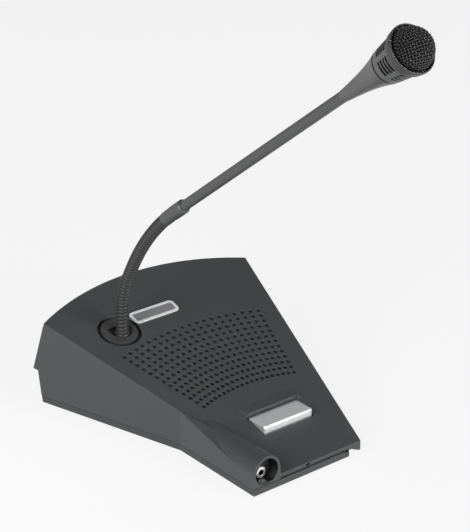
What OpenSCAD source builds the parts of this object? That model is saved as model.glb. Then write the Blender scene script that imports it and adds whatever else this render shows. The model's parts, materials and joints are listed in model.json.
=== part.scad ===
// Paging microphone: a fan-shaped desk station with a gooseneck microphone,
// a loudspeaker under its grille, a press-to-talk key and a headset socket.
// Millimetres. Front is -Y, right is +X, the desk is z = 0.

/* [Housing] */
// Width across the rear corners of the top
rear_w = 160; // [140:1:190]
// Width of the top at its front edge
front_w = 64; // [52:1:84]
// Depth of the top from its front edge to the rear corners, in plan
top_depth = 166.8; // [150:0.2:190]
// How far the rear edge bows out between its corners
rear_bow = 18.5; // [8:0.1:26]
// Slope of the top towards the front, in degrees
top_slope = 16.35; // [10:0.05:22]
// Height of the top's front edge above the desk
front_h = 8; // [7.6:0.1:14]
// Lean of the rear wall from upright, in degrees
rear_lean = 18.7; // [10:0.1:24]
// Wall of the cover
wall = 2.5; // [1.8:0.1:3.2]
// Height of the seam between cover and base at the front and left
seam_h = 5.6; // [5:0.1:6.6]
// Gap that shows as the seam
seam_gap = 0.5; // [0.1:0.05:0.6]
// Height of the rear skirt's lower edge at the rear corners
skirt_h = 23.4; // [20:0.5:30]
// Height of the skirt's lower edge at the front
skirt_front_h = 1.9; // [1.5:0.1:3]

/* [Base] */
// Gap between the desk and the shell, filled by the grip mat
foot_gap = 1.2; // [0.8:0.1:2]
// Floor of the base shell
floor_t = 2.5; // [2:0.1:3.5]
// Wall of the base shell
base_wall = 2.5; // [1.8:0.1:3]
// How far the base's right wall stands in under the overhang
right_inset = 9.2; // [6:0.5:14]
// How far the base's rear wall stands in under the skirt
rear_inset = 5.5; // [4:0.1:8]
// How far the base's left wall stands in
left_inset = 0.3; // [0.2:0.05:1.5]
// How far the base stands out in front of the cover
front_lip = 1; // [0.4:0.1:2]
// Running room between the base's rim and the skirt
rim_clear = 0.4; // [0.2:0.05:1]
// Thickness of the base's rim under the skirt
rim_t = 2.2; // [1.6:0.1:3]
// Margin of the grip mat inside the base
mat_margin = 5; // [3:0.5:10]
// Thickness of the steel ballast plate
ballast_t = 4; // [2:0.5:4.5]
// Margin of the ballast plate inside the base wall
ballast_margin = 6; // [4:0.5:14]
// Front edge of the ballast plate
ballast_front = -44; // [-46:1:-20]

/* [Grille] */
// Rows of holes
grille_rows = 13; // [6:1:13]
// Columns of holes
grille_cols = 20; // [8:1:20]
// Spacing of the rows along the slope
grille_pitch = 5.05; // [4.5:0.05:5.4]
// Radius of the front row about the fan's centre
grille_r = 124; // [110:1:140]
// Half angle of the fan of holes
grille_half = 16.6; // [12:0.1:17]
// Diameter of a hole
grille_hole_d = 3; // [1.6:0.1:3.2]
// Distance along the slope from the front edge to the front row
grille_front = 72.6; // [72:0.2:78]

/* [Key] */
// Width of the press-to-talk key
key_w = 37; // [30:0.5:42]
// Depth of the key
key_d = 14.6; // [12:0.2:16]
// Middle of the key from the centre line
key_x = 1; // [-4:0.5:4]
// Distance in plan from the front edge of the top to the key's front face
key_front = 30; // [28:0.5:34]
// Height of the key's flat top above the desk
key_top = 21.3; // [21:0.1:23]
// Radius of the key's front edge
key_round = 1.2; // [0.4:0.1:2]
// Thickness of the key's shell
key_wall = 1.8; // [1.2:0.1:2.4]
// Gap round the key
key_gap = 1.1; // [0.6:0.05:1.4]
// Radius of the key's pivot pin
pin_r = 1; // [0.8:0.05:1.3]
// Running fit of the key on its pin
pin_clear = 0.05; // [0.02:0.01:0.1]
// Height of the pivot above the desk
pin_z = 15.4; // [14.8:0.1:16]
// Height of the low ridge behind the key
guard_h = 1.9; // [0.4:0.1:2.6]
// Depth of that ridge along the slope
guard_d = 9.2; // [6:0.2:12]

/* [Neck and stem] */
// Collar's middle from the centre line
stem_x = -40; // [-46:0.2:-30]
// Collar's middle in depth
stem_y = 41.5; // [36:0.2:50]
// Direction that the neck leans in, degrees from +X
stem_heading = -90; // [-120:0.5:-60]
// Radius of the collar's disc
collar_r = 11.6; // [9:0.1:13]
// Width of the ring groove round the disc
collar_groove = 2.4; // [1.2:0.1:3]
// Collar's middle left of the neck's foot
collar_left = 1.3; // [0:0.1:2]
// Collar's middle behind the neck's foot
collar_back = 1.1; // [0:0.1:2]
// Outer radius of the ribbed neck
neck_r = 3.9; // [3.4:0.1:4.2]
// Depth of the neck's ribs
neck_rib = 0.45; // [0.2:0.05:0.8]
// Bore of the neck
neck_bore_r = 1.8; // [1:0.1:2]
// Spacing of the neck's ribs
neck_pitch = 2.5; // [2:0.1:4]
// Straight run at each end of the neck
neck_run = 8; // [7.8:0.2:10]
// Straight run where the two bends meet
neck_mid_run = 7.8; // [7.8:0.2:10]
// Length of the lower bend
lower_len = 36; // [30:0.2:50]
// Angle of the lower bend
lower_turn = 29.4; // [5:0.2:40]
// Length of the upper bend
upper_len = 63.5; // [50:0.5:75]
// Angle of the upper bend
upper_turn = 23.4; // [5:0.2:50]
// Outer radius of the sleeve between neck and tube
sleeve_r = 4.3; // [4.2:0.1:5]
// Length of the sleeve above the neck's end
sleeve_up = 5.5; // [5:0.5:14]
// Outer radius of the stem tube
tube_r = 3.1; // [2.8:0.1:3.3]
// Wall of the stem tube
tube_wall = 0.8; // [0.5:0.1:1.2]
// Length from the neck's end to the head
tube_len = 170.6; // [120:0.2:200]

/* [Head] */
// Radius of the head at the groove behind the vents
groove_r = 9.4; // [8.4:0.1:10]
// Radius of the head in front of the vents
vent_r = 11.7; // [11:0.1:12]
// Radius of the rim
rim_r = 13.2; // [13:0.1:15]
// Length of the rear cone
cone_len = 37.4; // [30:0.2:44]
// Length of the vented barrel
barrel_len = 14.4; // [12:0.2:18]
// Length of the rim collar
rim_len = 5.7; // [5:0.1:9]
// Width and depth of the groove between cone and barrel
groove_w = 0.9; // [0.5:0.1:1.4]
// Wall of the head's shells
head_wall = 1.5; // [1:0.1:2]
// Groups of vent slots
vent_groups = 6; // [3:1:8]
// Slots in a group
vent_slots = 4; // [2:1:4]
// Width of a vent slot
vent_w = 1.5; // [0.6:0.1:1.6]
// Turn of the vent groups about the stem
vent_phase = -17; // [-60:1:60]
// Height of the mesh dome above the rim
dome_h = 10.8; // [6:0.2:14]
// Thickness of the mesh dome
dome_t = 0.8; // [0.5:0.1:1.4]
// Black gap between rim and dome
dome_gap = 1.6; // [0.6:0.1:1.8]

/* [Headset socket] */
// Socket barrel's middle from the centre line
pod_x = -41.5; // [-44:0.2:-38]
// Radius of the barrel's round top
pod_r = 9.9; // [9:0.1:11]
// Height of the round top's centre
pod_z = 14; // [13:0.1:15]
// Rear end of the barrel, in depth
pod_rear = -28.6; // [-40:1:-20]
// Wall round the barrel's mouth
pod_rim = 1.5; // [1:0.1:2]
// Depth of the mouth
pod_mouth = 6.8; // [4:0.1:8]
// Height of the socket's axis
jack_z = 11.2; // [10.8:0.1:12.6]
// Bore for a 3.5 mm plug
jack_bore_r = 1.8; // [1.75:0.01:1.9]
// Radius of the silver bush
bush_r = 3.5; // [3:0.1:4]

/* [Speaker] */
// Radius of the loudspeaker's flange
speaker_r = 28.5; // [25:0.5:30]
// Depth of the loudspeaker behind its flange
speaker_h = 16.5; // [14:0.5:17]
// Radius of the magnet
magnet_r = 15; // [12:0.5:16]
// Height of the magnet
magnet_h = 7; // [5:0.5:8]

/* [Badge] */
// Length of the bare name plate
badge_len = 34; // [24:0.5:36]
// Width of the name plate
badge_w = 10.6; // [8:0.2:13]
// Corner radius of the name plate
badge_round = 3; // [1:0.1:4]
// How far the plate stands above the top
badge_proud = 0.7; // [0.4:0.1:1.2]
// Width of the badge's frame
badge_edge = 1.9; // [1:0.1:2.6]
// Middle of the plate from the centre line
badge_x = -10.5; // [-12:0.5:0]
// Middle of the plate in depth
badge_y = 48.2; // [44:0.2:56]

/* [Fasteners and boards] */
// Shank radius of the case screws
screw_r = 1.5; // [1.2:0.05:2]
// Head radius of the case screws
screw_head_r = 2.75; // [2.4:0.05:3.2]
// Head height of the case screws
screw_head_h = 1.6; // [1.2:0.1:2]
// Radius of the bosses that the case screws turn into
boss_r = 4; // [3.4:0.1:4.4]
// Shank radius of the small screws
small_r = 1; // [0.8:0.05:1.3]
// Head radius of the small screws
small_head_r = 2; // [1.7:0.05:2.4]
// Head height of the small screws
small_head_h = 1.3; // [1:0.1:1.8]
// Radial room round screws and pins in their holes
hole_clear = 0.08; // [0.05:0.01:0.2]
// Thickness of the circuit boards
board_t = 1.6; // [1:0.1:2]
// Height of the main board's underside
board_z = 9.4; // [9.2:0.1:10]
// Width of the main board
board_w = 80; // [70:1:90]
// Depth of the main board
board_d = 47; // [43:1:49]
// Distance of the main board from the middle of the base's rear wall
board_back = 13.5; // [11.5:0.5:17.5]
// Width of a network socket
bus_w = 15.8; // [14:0.1:17]
// Height of a network socket
bus_h = 12.4; // [11:0.1:12.6]
// Length of a network socket
bus_l = 18; // [15:0.5:20]
// Distance of the network sockets from the centre line
bus_x = 13; // [10:0.5:20]
// Height of the switch board's underside
switch_board_z = 6.2; // [5.8:0.1:6.6]
// Height of the press switch
switch_h = 3.6; // [3:0.1:4]
// Height of the soft button above its switch
button_h = 1.6; // [1.4:0.1:2]

/* [Hidden] */
big = 400;
eps = 0.01;

// The footprint's middle is the origin: the skirt leans out to the rear as it goes down
rear_mid_h = front_h + (top_depth + rear_bow) * tan(top_slope);
skirt_lean = (rear_mid_h - skirt_h) * tan(rear_lean);
y_front = -(top_depth + rear_bow + skirt_lean - front_lip) / 2;
y_rear = y_front + top_depth;
fan_tan = (rear_w - front_w) / 2 / top_depth;
fan_a = atan(fan_tan);

// Rear edge: a circle in the plane of the top
v_rear = top_depth / cos(top_slope);
v_bow = rear_bow / cos(top_slope);
rear_r = (pow(rear_w / 2, 2) + pow(v_bow, 2)) / (2 * v_bow);
v_centre = v_rear + v_bow - rear_r;

// Skirt's lower edge: one plane that falls to the front
skirt_y = y_rear + (front_h + top_depth * tan(top_slope) - skirt_h) * tan(rear_lean);
skirt_slope = atan((skirt_h - skirt_front_h) / (skirt_y - y_front));

// Base's rear wall: a drafted round wall under the skirt
base_half = rear_w / 2 + (skirt_y - y_rear) * fan_tan;
base_bow = rear_bow * 0.95;
base_r = (pow(base_half, 2) + pow(base_bow, 2)) / (2 * base_bow);
base_mid_y = skirt_y + base_bow - rear_inset;
base_centre_y = base_mid_y - base_r;
base_draft = 2.7;
board_rear = base_mid_y - board_back;
board_front = board_rear - board_d;
case_rear_y = base_mid_y - 31.5;
floor_z = foot_gap + floor_t;

// Height of the top, and of its underside, over a depth y
function top_z(y) = front_h + (y - y_front) * tan(top_slope);
function under_z(y) = top_z(y) - wall / cos(top_slope);
function slope_v(y) = (y - y_front) / cos(top_slope);
function half_w(y) = front_w / 2 + (y - y_front) * fan_tan;

// Puts children in the plane of the top: x across, v up the slope, d below the surface
module on_top(x, v, d = 0) {
    translate([0, y_front, front_h]) rotate([top_slope, 0, 0]) translate([x, v, -d]) children();
}

// Plan of the fan between its side lines, moved in by l, r and f, and open to the rear
module plan(l, r, f) {
    y0 = y_front + f;
    y1 = y_rear + 60;
    dl = l / cos(fan_a);
    dr = r / cos(fan_a);
    polygon([[-half_w(y0) + dl, y0], [half_w(y0) - dr, y0], [half_w(y1) - dr, y1], [-half_w(y1) + dl, y1]]);
}

// The wedge of the cover, moved in by t on the sides, top and rear
module fan_body(t, f) {
    intersection() {
        on_top(0, v_centre) rotate([rear_lean - top_slope, 0, 0]) translate([0, 0, -big / 2])
            cylinder(r = rear_r - t, h = big, $fn = 96);
        on_top(-big, -big / 2, t + big) cube([2 * big, 2 * big, big]);
        linear_extrude(height = 100) plan(t, t, f);
    }
}

// Drafted round wall that bounds the base at the rear, moved in by b
module base_rear(b) {
    h = skirt_h + 12;
    top_r = base_r - b + base_draft * (h / skirt_h - 1);
    translate([0, base_centre_y, 0])
        cylinder(r1 = base_r - b - base_draft, r2 = top_r, h = h, $fn = 96);
}

// The fan part of the base between its walls, from z0 to z1
module base_prism(l, r, f, b, z0, z1) {
    intersection() {
        translate([0, 0, z0]) linear_extrude(height = z1 - z0) plan(l, r, f);
        base_rear(b);
    }
}

// The whole base between its walls, with the room under the socket barrel, moved in by t
module base_solid(t, z0, z1) {
    x0 = pod_x - pod_r + left_inset + t;
    intersection() {
        translate([0, 0, z0]) linear_extrude(height = z1 - z0) union() {
            plan(left_inset + t, right_inset + t, t - front_lip);
            translate([x0, y_front - front_lip + t])
                square([-half_w(y_front) + 10 - x0, pod_rear - y_front + front_lip - 2 * t]);
        }
        base_rear(t);
    }
}

// Everything below the skirt's lower edge, raised by lift
module below_skirt(lift) {
    translate([0, y_front, skirt_front_h + lift]) rotate([skirt_slope, 0, 0])
        translate([-big, -big, -big]) cube([2 * big, 2 * big, big]);
}

// Everything above it, raised by lift
module above_skirt(lift) {
    translate([0, y_front, skirt_front_h + lift]) rotate([skirt_slope, 0, 0])
        translate([-big, -big, 0]) cube([2 * big, 2 * big, big]);
}

// Plan that the base covers, with the left and front left wide open
module base_side() {
    base_prism(-60, right_inset, -60, 0, -1, skirt_h + 10);
}

case_points = [[-half_w(case_rear_y) + 19, case_rear_y], [half_w(case_rear_y) - 27, case_rear_y],
    [key_x - 19, y_front + 12.5], [key_x + 14, y_front + 12.5]];
boss_gap = 0.2;
ballast_pins = [-28, 24];
base_boss_top = floor_z + 1.6;
case_head_z = foot_gap + 0.2;

speaker_v = grille_front + (grille_rows - 1) * grille_pitch / 2;
cloth_t = 0.4;
flange_t = 1.2;
speaker_seat = wall + cloth_t + flange_t;
speaker_hold_r = speaker_r + 3.6;
speaker_boss_r = 2.4;
speaker_angles = [90, 210, 330];

key_y = y_front + key_front;
pin_y = key_y + key_d - 2.4;
lug_t = 3;
pin_half = key_w / 2 + 5;
pod_front = y_front - front_lip;
mouth_y = pod_front + pod_mouth;
jack_wall = 2;

collar_hole_r = collar_r + collar_groove;
collar_x = stem_x - collar_left;
collar_v = slope_v(stem_y + collar_back);
collar_flange_r = collar_hole_r + 5;
collar_flange_t = 2;
collar_screw_r = collar_hole_r + 2.5;
ferrule_r = neck_r + 0.6;
ferrule_top = top_z(stem_y) - 0.6;
ferrule_low = ferrule_top - 19;
collar_low = ferrule_top - 14;

// One hole pattern for the grille: rows are arcs about the fan's centre
module grille_holes() {
    for (row = [0 : grille_rows - 1])
        for (col = [0 : grille_cols - 1])
            rotate(-grille_half + 2 * grille_half * col / (grille_cols - 1))
                translate([0, grille_r + row * grille_pitch]) circle(d = grille_hole_d, $fn = 24);
}

// A rounded rectangle about the origin
module round_rect(w, d, r) {
    square([w - 2 * r, d], center = true);
    square([w, d - 2 * r], center = true);
    for (x = [-1, 1])
        for (y = [-1, 1])
            translate([x * (w / 2 - r), y * (d / 2 - r)]) circle(r = r, $fn = 32);
}

// The flat top as one plate with its openings, then its walls
module cover_top() {
    intersection() {
        on_top(0, 0, wall) linear_extrude(height = wall) difference() {
            translate([0, v_centre]) circle(r = rear_r, $fn = 96);
            translate([0, grille_front - grille_r]) grille_holes();
            translate([collar_x, collar_v]) circle(r = collar_hole_r, $fn = 48);
        }
        linear_extrude(height = 100) plan(0, 0, 0);
    }
}

module cover_walls() {
    difference() {
        fan_body(0, 0);
        on_top(0, -50, wall) translate([-big / 2, 0, 0]) cube([big, big, big]);
        fan_body(wall, wall);
        intersection() {
            base_side();
            translate([-big / 2, -big / 2, -eps]) cube([big, big, seam_h + eps]);
        }
        difference() {
            below_skirt(0);
            base_side();
        }
    }
}

// Barrel of the headset socket with its outer wall, grown by g
module pod_solid(g, y0, y1) {
    intersection() {
        translate([pod_x, y1, pod_z]) rotate([90, 0, 0]) cylinder(r = pod_r + g, h = y1 - y0, $fn = 64);
        translate([pod_x - big / 2, y0 - 1, pod_z - 1]) cube([big, y1 - y0 + 2, big]);
    }
    translate([pod_x - pod_r - g, y0, seam_h]) cube([2 * (pod_r + g), y1 - y0, pod_z - seam_h]);
}

// Shoulder that joins the fan's left edge to the barrel's outer wall
module pod_shoulder() {
    lean = 10;
    lap = 0.3;
    outer = pod_x - pod_r;
    meet_y = y_front + (lap - outer - front_w / 2) / fan_tan;
    intersection() {
        translate([0, 0, seam_h]) linear_extrude(height = 40)
            polygon([[outer, pod_front], [lap - half_w(pod_front), pod_front], [outer, meet_y]]);
        translate([lap - half_w(pod_rear), pod_rear, top_z(pod_rear)])
            rotate([atan(tan(top_slope) - fan_tan * tan(lean)), -lean, 0])
                translate([-big / 2, -big / 2, -big]) cube([big, big, big]);
    }
}

module pod_hollow() {
    pod_solid(-wall, mouth_y + jack_wall, pod_rear - wall);
    translate([pod_x - pod_r + wall, mouth_y + jack_wall, 0])
        cube([2 * (pod_r - wall), pod_rear - wall - mouth_y - jack_wall, pod_z]);
}

// Mouth of the barrel: narrows towards the socket
module pod_opening() {
    floor_z = jack_z - bush_r - 0.3;
    intersection() {
        translate([pod_x, mouth_y, pod_z]) rotate([90, 0, 0])
            cylinder(r1 = pod_r - pod_rim - 1.6, r2 = pod_r - pod_rim, h = pod_mouth + eps, $fn = 64);
        translate([pod_x - big / 2, pod_front - 1, floor_z]) cube([big, pod_mouth + 2, big]);
    }
}

module key_opening(g) {
    translate([key_x - key_w / 2 - g, key_y - g, pin_z - 6]) cube([key_w + 2 * g, key_d + 2 * g, 40]);
}

// Low ridge behind the key: rises gently from the rear, drops to the key and falls off at its ends
module key_guard() {
    len = key_w + 7;
    fall = 3;
    on_top(key_x - key_w / 2 - 1, slope_v(key_y + key_d + key_gap)) intersection() {
        rotate([90, 0, 90]) linear_extrude(height = len)
            polygon([[-1, -wall / 2], [-1, guard_h * 0.8], [0.8, guard_h], [1.4, guard_h], [guard_d, -0.1],
                [guard_d, -wall / 2]]);
        translate([0, 20, 0]) rotate([90, 0, 0]) linear_extrude(height = 40)
            polygon([[0, -wall], [0, 0.05], [fall, guard_h + 0.1], [len - fall, guard_h + 0.1],
                [len, 0.05], [len, -wall]]);
    }
}

module boss_at(p) {
    translate([p[0], p[1], base_boss_top + boss_gap])
        cylinder(r = boss_r, h = under_z(p[1]) + 0.8 - base_boss_top - boss_gap, $fn = 32);
}

module pin_lugs() {
    for (side = [-1, 1])
        translate([key_x + side * (pin_half - lug_t / 2) - lug_t / 2, pin_y - 3, pin_z - 2.6])
            cube([lug_t, 6, under_z(pin_y - 3) - pin_z + 3]);
}

module top_cover() {
    color("dimgray") difference() {
        union() {
            cover_top();
            cover_walls();
            difference() {
                union() {
                    pod_solid(0, pod_front, pod_rear);
                    pod_shoulder();
                }
                fan_body(wall, wall);
            }
            key_guard();
            for (p = case_points) boss_at(p);
            for (a = speaker_angles)
                on_top(speaker_hold_r * cos(a), speaker_v + speaker_hold_r * sin(a), speaker_seat)
                    cylinder(r = speaker_boss_r, h = speaker_seat - wall + 0.2, $fn = 24);
            pin_lugs();
        }
        pod_hollow();
        pod_opening();
        translate([pod_x, mouth_y + jack_wall + 1, jack_z]) rotate([90, 0, 0])
            cylinder(r = bush_r - 0.5 + hole_clear, h = jack_wall + 2, $fn = 32);
        key_opening(key_gap);
        for (p = case_points)
            translate([p[0], p[1], base_boss_top])
                cylinder(r = screw_r + hole_clear, h = 4, $fn = 24);
        for (a = speaker_angles)
            on_top(speaker_hold_r * cos(a), speaker_v + speaker_hold_r * sin(a), speaker_seat + 1)
                cylinder(r = small_r + hole_clear, h = speaker_seat, $fn = 24);
        for (a = [90, 210, 330])
            on_top(collar_x + collar_screw_r * cos(a), collar_v + collar_screw_r * sin(a), wall + 1)
                cylinder(r = small_r + hole_clear, h = wall - 0.2, $fn = 24);
        translate([key_x - pin_half - 1, pin_y, pin_z]) rotate([0, 90, 0])
            cylinder(r = pin_r + hole_clear, h = 2 * pin_half + 2, $fn = 24);
        translate([key_x - 12, y_front - 1, seam_h + 0.4]) cube([3, wall + 2, front_h - seam_h - 0.9]);
        notch_x = half_w(y_front) - right_inset;
        translate([0, y_front + wall + eps, 0]) rotate([90, 0, 0]) linear_extrude(height = wall + 2)
            polygon([[notch_x, 0], [notch_x, seam_h], [half_w(y_front) - 1.2, skirt_front_h],
                [half_w(y_front) - 1.2, 0]]);
    }
}

module base_shell() {
    color("darkslategray") difference() {
        union() {
            base_tub();
            rim();
            for (p = case_points)
                translate([p[0], p[1], foot_gap + 1])
                    cylinder(r = boss_r + 0.6, h = base_boss_top - foot_gap - 1, $fn = 32);
            for (p = board_points())
                translate([p[0], p[1], foot_gap + 1]) cylinder(r = 3, h = board_z - foot_gap - 1, $fn = 24);
            for (p = switch_points())
                translate([p[0], p[1], foot_gap + 1])
                    cylinder(r = 2.6, h = switch_board_z - foot_gap - 1, $fn = 24);
            for (x = ballast_pins)
                translate([x, ballast_front + 12, foot_gap + 1])
                    cylinder(r = 2, h = floor_t + ballast_t - 1.4, $fn = 24);
        }
        for (p = case_points) {
            translate([p[0], p[1], -1]) cylinder(r = screw_r + 0.3, h = 20, $fn = 24);
            translate([p[0], p[1], -1])
                cylinder(r = screw_head_r + 0.3, h = 1 + case_head_z + screw_head_h, $fn = 24);
        }
        for (p = board_points())
            translate([p[0], p[1], board_z - 4]) cylinder(r = small_r + hole_clear, h = 8, $fn = 24);
        for (p = switch_points())
            translate([p[0], p[1], switch_board_z - 3.2])
                cylinder(r = small_r + hole_clear, h = 8, $fn = 24);
        for (side = [-1, 1])
            translate([side * bus_x - bus_w / 2 - 0.3, base_mid_y - 20, board_z + board_t - 0.2])
                cube([bus_w + 0.6, 40, bus_h + 0.5]);
    }
}

// Plan of what stays low: the left wall, the front wall and the wall under the socket barrel
module low_walls() {
    inner = left_inset + base_wall + 3;
    y0 = y_front - 60;
    y1 = base_centre_y + sqrt(pow(base_r - base_wall - base_draft, 2) - pow(base_half - 4, 2)) - 1;
    y2 = y_rear + 60;
    edge = (wall + 2 * rim_clear) / cos(fan_a);
    polygon([[-big, y0], [-half_w(y0) + inner, y0], [-half_w(y1) + inner, y1], [-half_w(y1) + edge, y1],
        [-half_w(y2) + edge, y2], [-big, y2]]);
    translate([-big, y0])
        square([big + half_w(y_front), y_front + base_wall + 3 - y0]);
}

// Plan of what stands up to the skirt: the right wall and the rear wall
module high_walls() {
    y0 = y_front - 60;
    inner = (right_inset + base_wall) / cos(fan_a) + 0.3;
    polygon([[half_w(y0) - inner, y0], [big, y0], [big, big], [-big, big], [-big, 0],
        [half_w(0) - inner, 0]]);
}

// Floor and walls
module base_tub() {
    difference() {
        base_solid(0, foot_gap, skirt_h + 10);
        base_solid(base_wall, floor_z, skirt_h + 11);
        translate([0, 0, seam_h - seam_gap]) linear_extrude(height = 100) low_walls();
        intersection() {
            above_skirt(rim_t);
            linear_extrude(height = 100) high_walls();
        }
    }
}

// Rim that closes the space between the base's rear and right walls and the skirt
module rim() {
    half = base_wall / 2;
    difference() {
        fan_body(wall + rim_clear, wall + rim_clear);
        base_prism(-60, right_inset + half, -60, half, -1, skirt_h + 11);
        translate([-big, -big, -1]) cube([big - half_w(y_front) + 20, big + y_rear - 4, 100]);
        above_skirt(rim_t - 0.2);
        below_skirt(0.2);
    }
}

module grip_mat() {
    color([0.12, 0.12, 0.12]) difference() {
        base_solid(mat_margin, 0, foot_gap);
        for (p = case_points)
            translate([p[0], p[1], -1]) cylinder(r = screw_head_r + 1.2, h = foot_gap + 2, $fn = 24);
    }
}

module ballast_plate() {
    m = base_wall + ballast_margin;
    color("slategray") difference() {
        base_prism(left_inset + m, right_inset + m, ballast_front - y_front, m, floor_z,
            floor_z + ballast_t);
        for (p = case_points)
            translate([p[0], p[1], 0]) cylinder(r = boss_r + 1.4, h = 40, $fn = 32);
        for (p = board_points())
            translate([p[0], p[1], 0]) cylinder(r = 3.6, h = 40, $fn = 24);
        for (x = ballast_pins)
            translate([x, ballast_front + 12, 0]) cylinder(r = 2 + hole_clear, h = 40, $fn = 24);
    }
}

module case_screws() {
    color("silver") for (p = case_points) translate([p[0], p[1], case_head_z]) {
        cylinder(r = screw_head_r, h = screw_head_h, $fn = 24);
        cylinder(r = screw_r, h = base_boss_top + 3.6 - case_head_z, $fn = 24);
    }
}

function board_points() = [for (x = [-1, 1]) for (y = [0, 1])
    [x * (board_w / 2 - 4), y == 0 ? board_front + 4 : board_rear - 8]];

module main_board() {
    color("seagreen") difference() {
        translate([-board_w / 2, board_front, board_z]) cube([board_w, board_rear - board_front, board_t]);
        for (p = board_points())
            translate([p[0], p[1], 0]) cylinder(r = small_r + hole_clear, h = 40, $fn = 24);
        for (p = case_points)
            translate([p[0], p[1], 0]) cylinder(r = boss_r + 1, h = 40, $fn = 24);
        translate([stem_x, stem_y, 0]) cylinder(r = ferrule_r + 1, h = 40, $fn = 24);
    }
}

// Processor, amplifier and three capacitors, standing on the board
module board_parts() {
    z = board_z + board_t;
    color([0.15, 0.15, 0.17]) {
        translate([-8, board_front + 8, z]) cube([14, 14, 1.6]);
        translate([14, board_front + 6, z]) cube([8, 10, 2]);
        for (i = [0 : 2])
            translate([26, board_front + 6 + i * 9, z]) cylinder(r = 3, h = 7, $fn = 24);
    }
}

module board_screws() {
    color("silver") for (p = board_points()) {
        translate([p[0], p[1], board_z + board_t]) cylinder(r = small_head_r, h = small_head_h, $fn = 24);
        translate([p[0], p[1], board_z - 3.6]) cylinder(r = small_r, h = board_t + 3.6, $fn = 24);
    }
}

// Two network sockets with their openings to the rear
module bus_sockets() {
    open_w = 11.8;
    open_h = 8.2;
    z = board_z + board_t;
    color([0.2, 0.2, 0.22]) for (side = [-1, 1])
        translate([side * bus_x, base_mid_y - base_draft - bus_l, z]) difference() {
            translate([-bus_w / 2, 0, 0]) cube([bus_w, bus_l, bus_h]);
            translate([-open_w / 2, 3, 2]) cube([open_w, bus_l, open_h]);
            translate([-3, 3, 1]) cube([6, bus_l, 2]);
        }
}

module grille_cloth() {
    grow = grille_hole_d / 2 + 2;
    color([0.08, 0.08, 0.09]) on_top(0, 0, wall + cloth_t) linear_extrude(height = cloth_t) difference() {
        intersection() {
            translate([0, grille_front - grille_r]) difference() {
                circle(r = grille_r + (grille_rows - 1) * grille_pitch + grow, $fn = 96);
                circle(r = grille_r - grow, $fn = 96);
            }
            translate([0, grille_front - grille_r]) polygon([[0, 0],
                [big * tan(grille_half + 1.2), big], [-big * tan(grille_half + 1.2), big]]);
        }
        for (a = speaker_angles)
            translate([speaker_hold_r * cos(a), speaker_v + speaker_hold_r * sin(a)])
                circle(r = speaker_boss_r + 0.3, $fn = 24);
        translate([collar_x, collar_v]) circle(r = collar_flange_r + 0.3, $fn = 48);
    }
}

// Pressed basket: flange with a shelf for the cone, sloping wall with windows, and a flat bottom ring
shelf_r = speaker_r - 2.5;
basket_r = speaker_r - 5;
shelf_z = 0.6;
basket_low = speaker_h - magnet_h;
basket_neck = magnet_r - 1;
module speaker_frame() {
    sheet = 1.2;
    color("gray") on_top(0, speaker_v, speaker_seat) difference() {
        rotate_extrude($fn = 64) polygon([[basket_r, shelf_z], [shelf_r, shelf_z], [shelf_r, flange_t],
            [speaker_r, flange_t], [speaker_r, 0], [basket_r + sheet, 0],
            [basket_neck + sheet, -basket_low], [basket_neck - 5, -basket_low],
            [basket_neck - 5, -basket_low + 1], [basket_neck, -basket_low + 1]]);
        for (a = [0 : 60 : 300])
            rotate(a) translate([basket_neck + 2, -3, -basket_low + 2.2]) cube([5, 6, basket_low - 3.6]);
    }
}

// Cone with its surround on the shelf, its coil former and its dust cap
module speaker_cone() {
    cap_z = -basket_low + 2.2;
    color([0.1, 0.1, 0.1]) on_top(0, speaker_v, speaker_seat) {
        rotate_extrude($fn = 64) polygon([[shelf_r - 0.1, shelf_z], [shelf_r - 0.1, shelf_z + 0.4],
            [basket_r - 1, shelf_z + 0.4], [6.4, -basket_low + 3.4], [6.4, -basket_low - 2],
            [7, -basket_low - 2], [7, -basket_low + 2.9], [basket_r - 1, shelf_z - 0.1],
            [basket_r - 0.8, shelf_z]]);
        translate([0, 0, cap_z]) intersection() {
            translate([0, 0, -6]) sphere(r = 9.2, $fn = 48);
            cylinder(r = 6.7, h = 6, $fn = 48);
        }
    }
}

module speaker_magnet() {
    color([0.25, 0.25, 0.27]) on_top(0, speaker_v, speaker_seat) difference() {
        translate([0, 0, -speaker_h]) cylinder(r = magnet_r, h = magnet_h, $fn = 64);
        translate([0, 0, -speaker_h + 2]) difference() {
            cylinder(r = 7.6, h = magnet_h, $fn = 48);
            cylinder(r = 5.8, h = magnet_h, $fn = 48);
        }
    }
}

module speaker_screws() {
    color("silver") for (a = speaker_angles)
        on_top(speaker_hold_r * cos(a), speaker_v + speaker_hold_r * sin(a), speaker_seat) {
            translate([0, 0, -0.8]) cylinder(r = speaker_hold_r - speaker_r + 1.4, h = 0.8, $fn = 32);
            translate([0, 0, -0.8 - small_head_h]) cylinder(r = small_head_r, h = small_head_h, $fn = 24);
            cylinder(r = small_r, h = speaker_seat - 1.4, $fn = 24);
        }
}

// Key: hollow bar with a rounded front edge, two lugs for its pin and a foot over the switch
foot_y = pin_y - 7.4;
switch_top = switch_board_z + board_t + switch_h;
button_top = switch_top + button_h;

module key_profile() {
    y0 = key_y;
    y1 = key_y + key_d;
    z0 = key_top - 7.4;
    difference() {
        polygon([[y0, z0], [y1, z0 + 3.4], [y1, key_top], [y0 + key_round, key_top],
            [y0, key_top - key_round]]);
        translate([y1 - 1, key_top - 0.5]) rotate(20) square([4, 4]);
    }
    intersection() {
        translate([y0 + key_round, key_top - key_round]) circle(r = key_round, $fn = 32);
        translate([y0, key_top - key_round]) square([key_round, key_round]);
    }
}

module along_x(x0, x1) {
    translate([x0, 0, 0]) rotate([90, 0, 90]) linear_extrude(height = x1 - x0) children();
}

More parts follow.
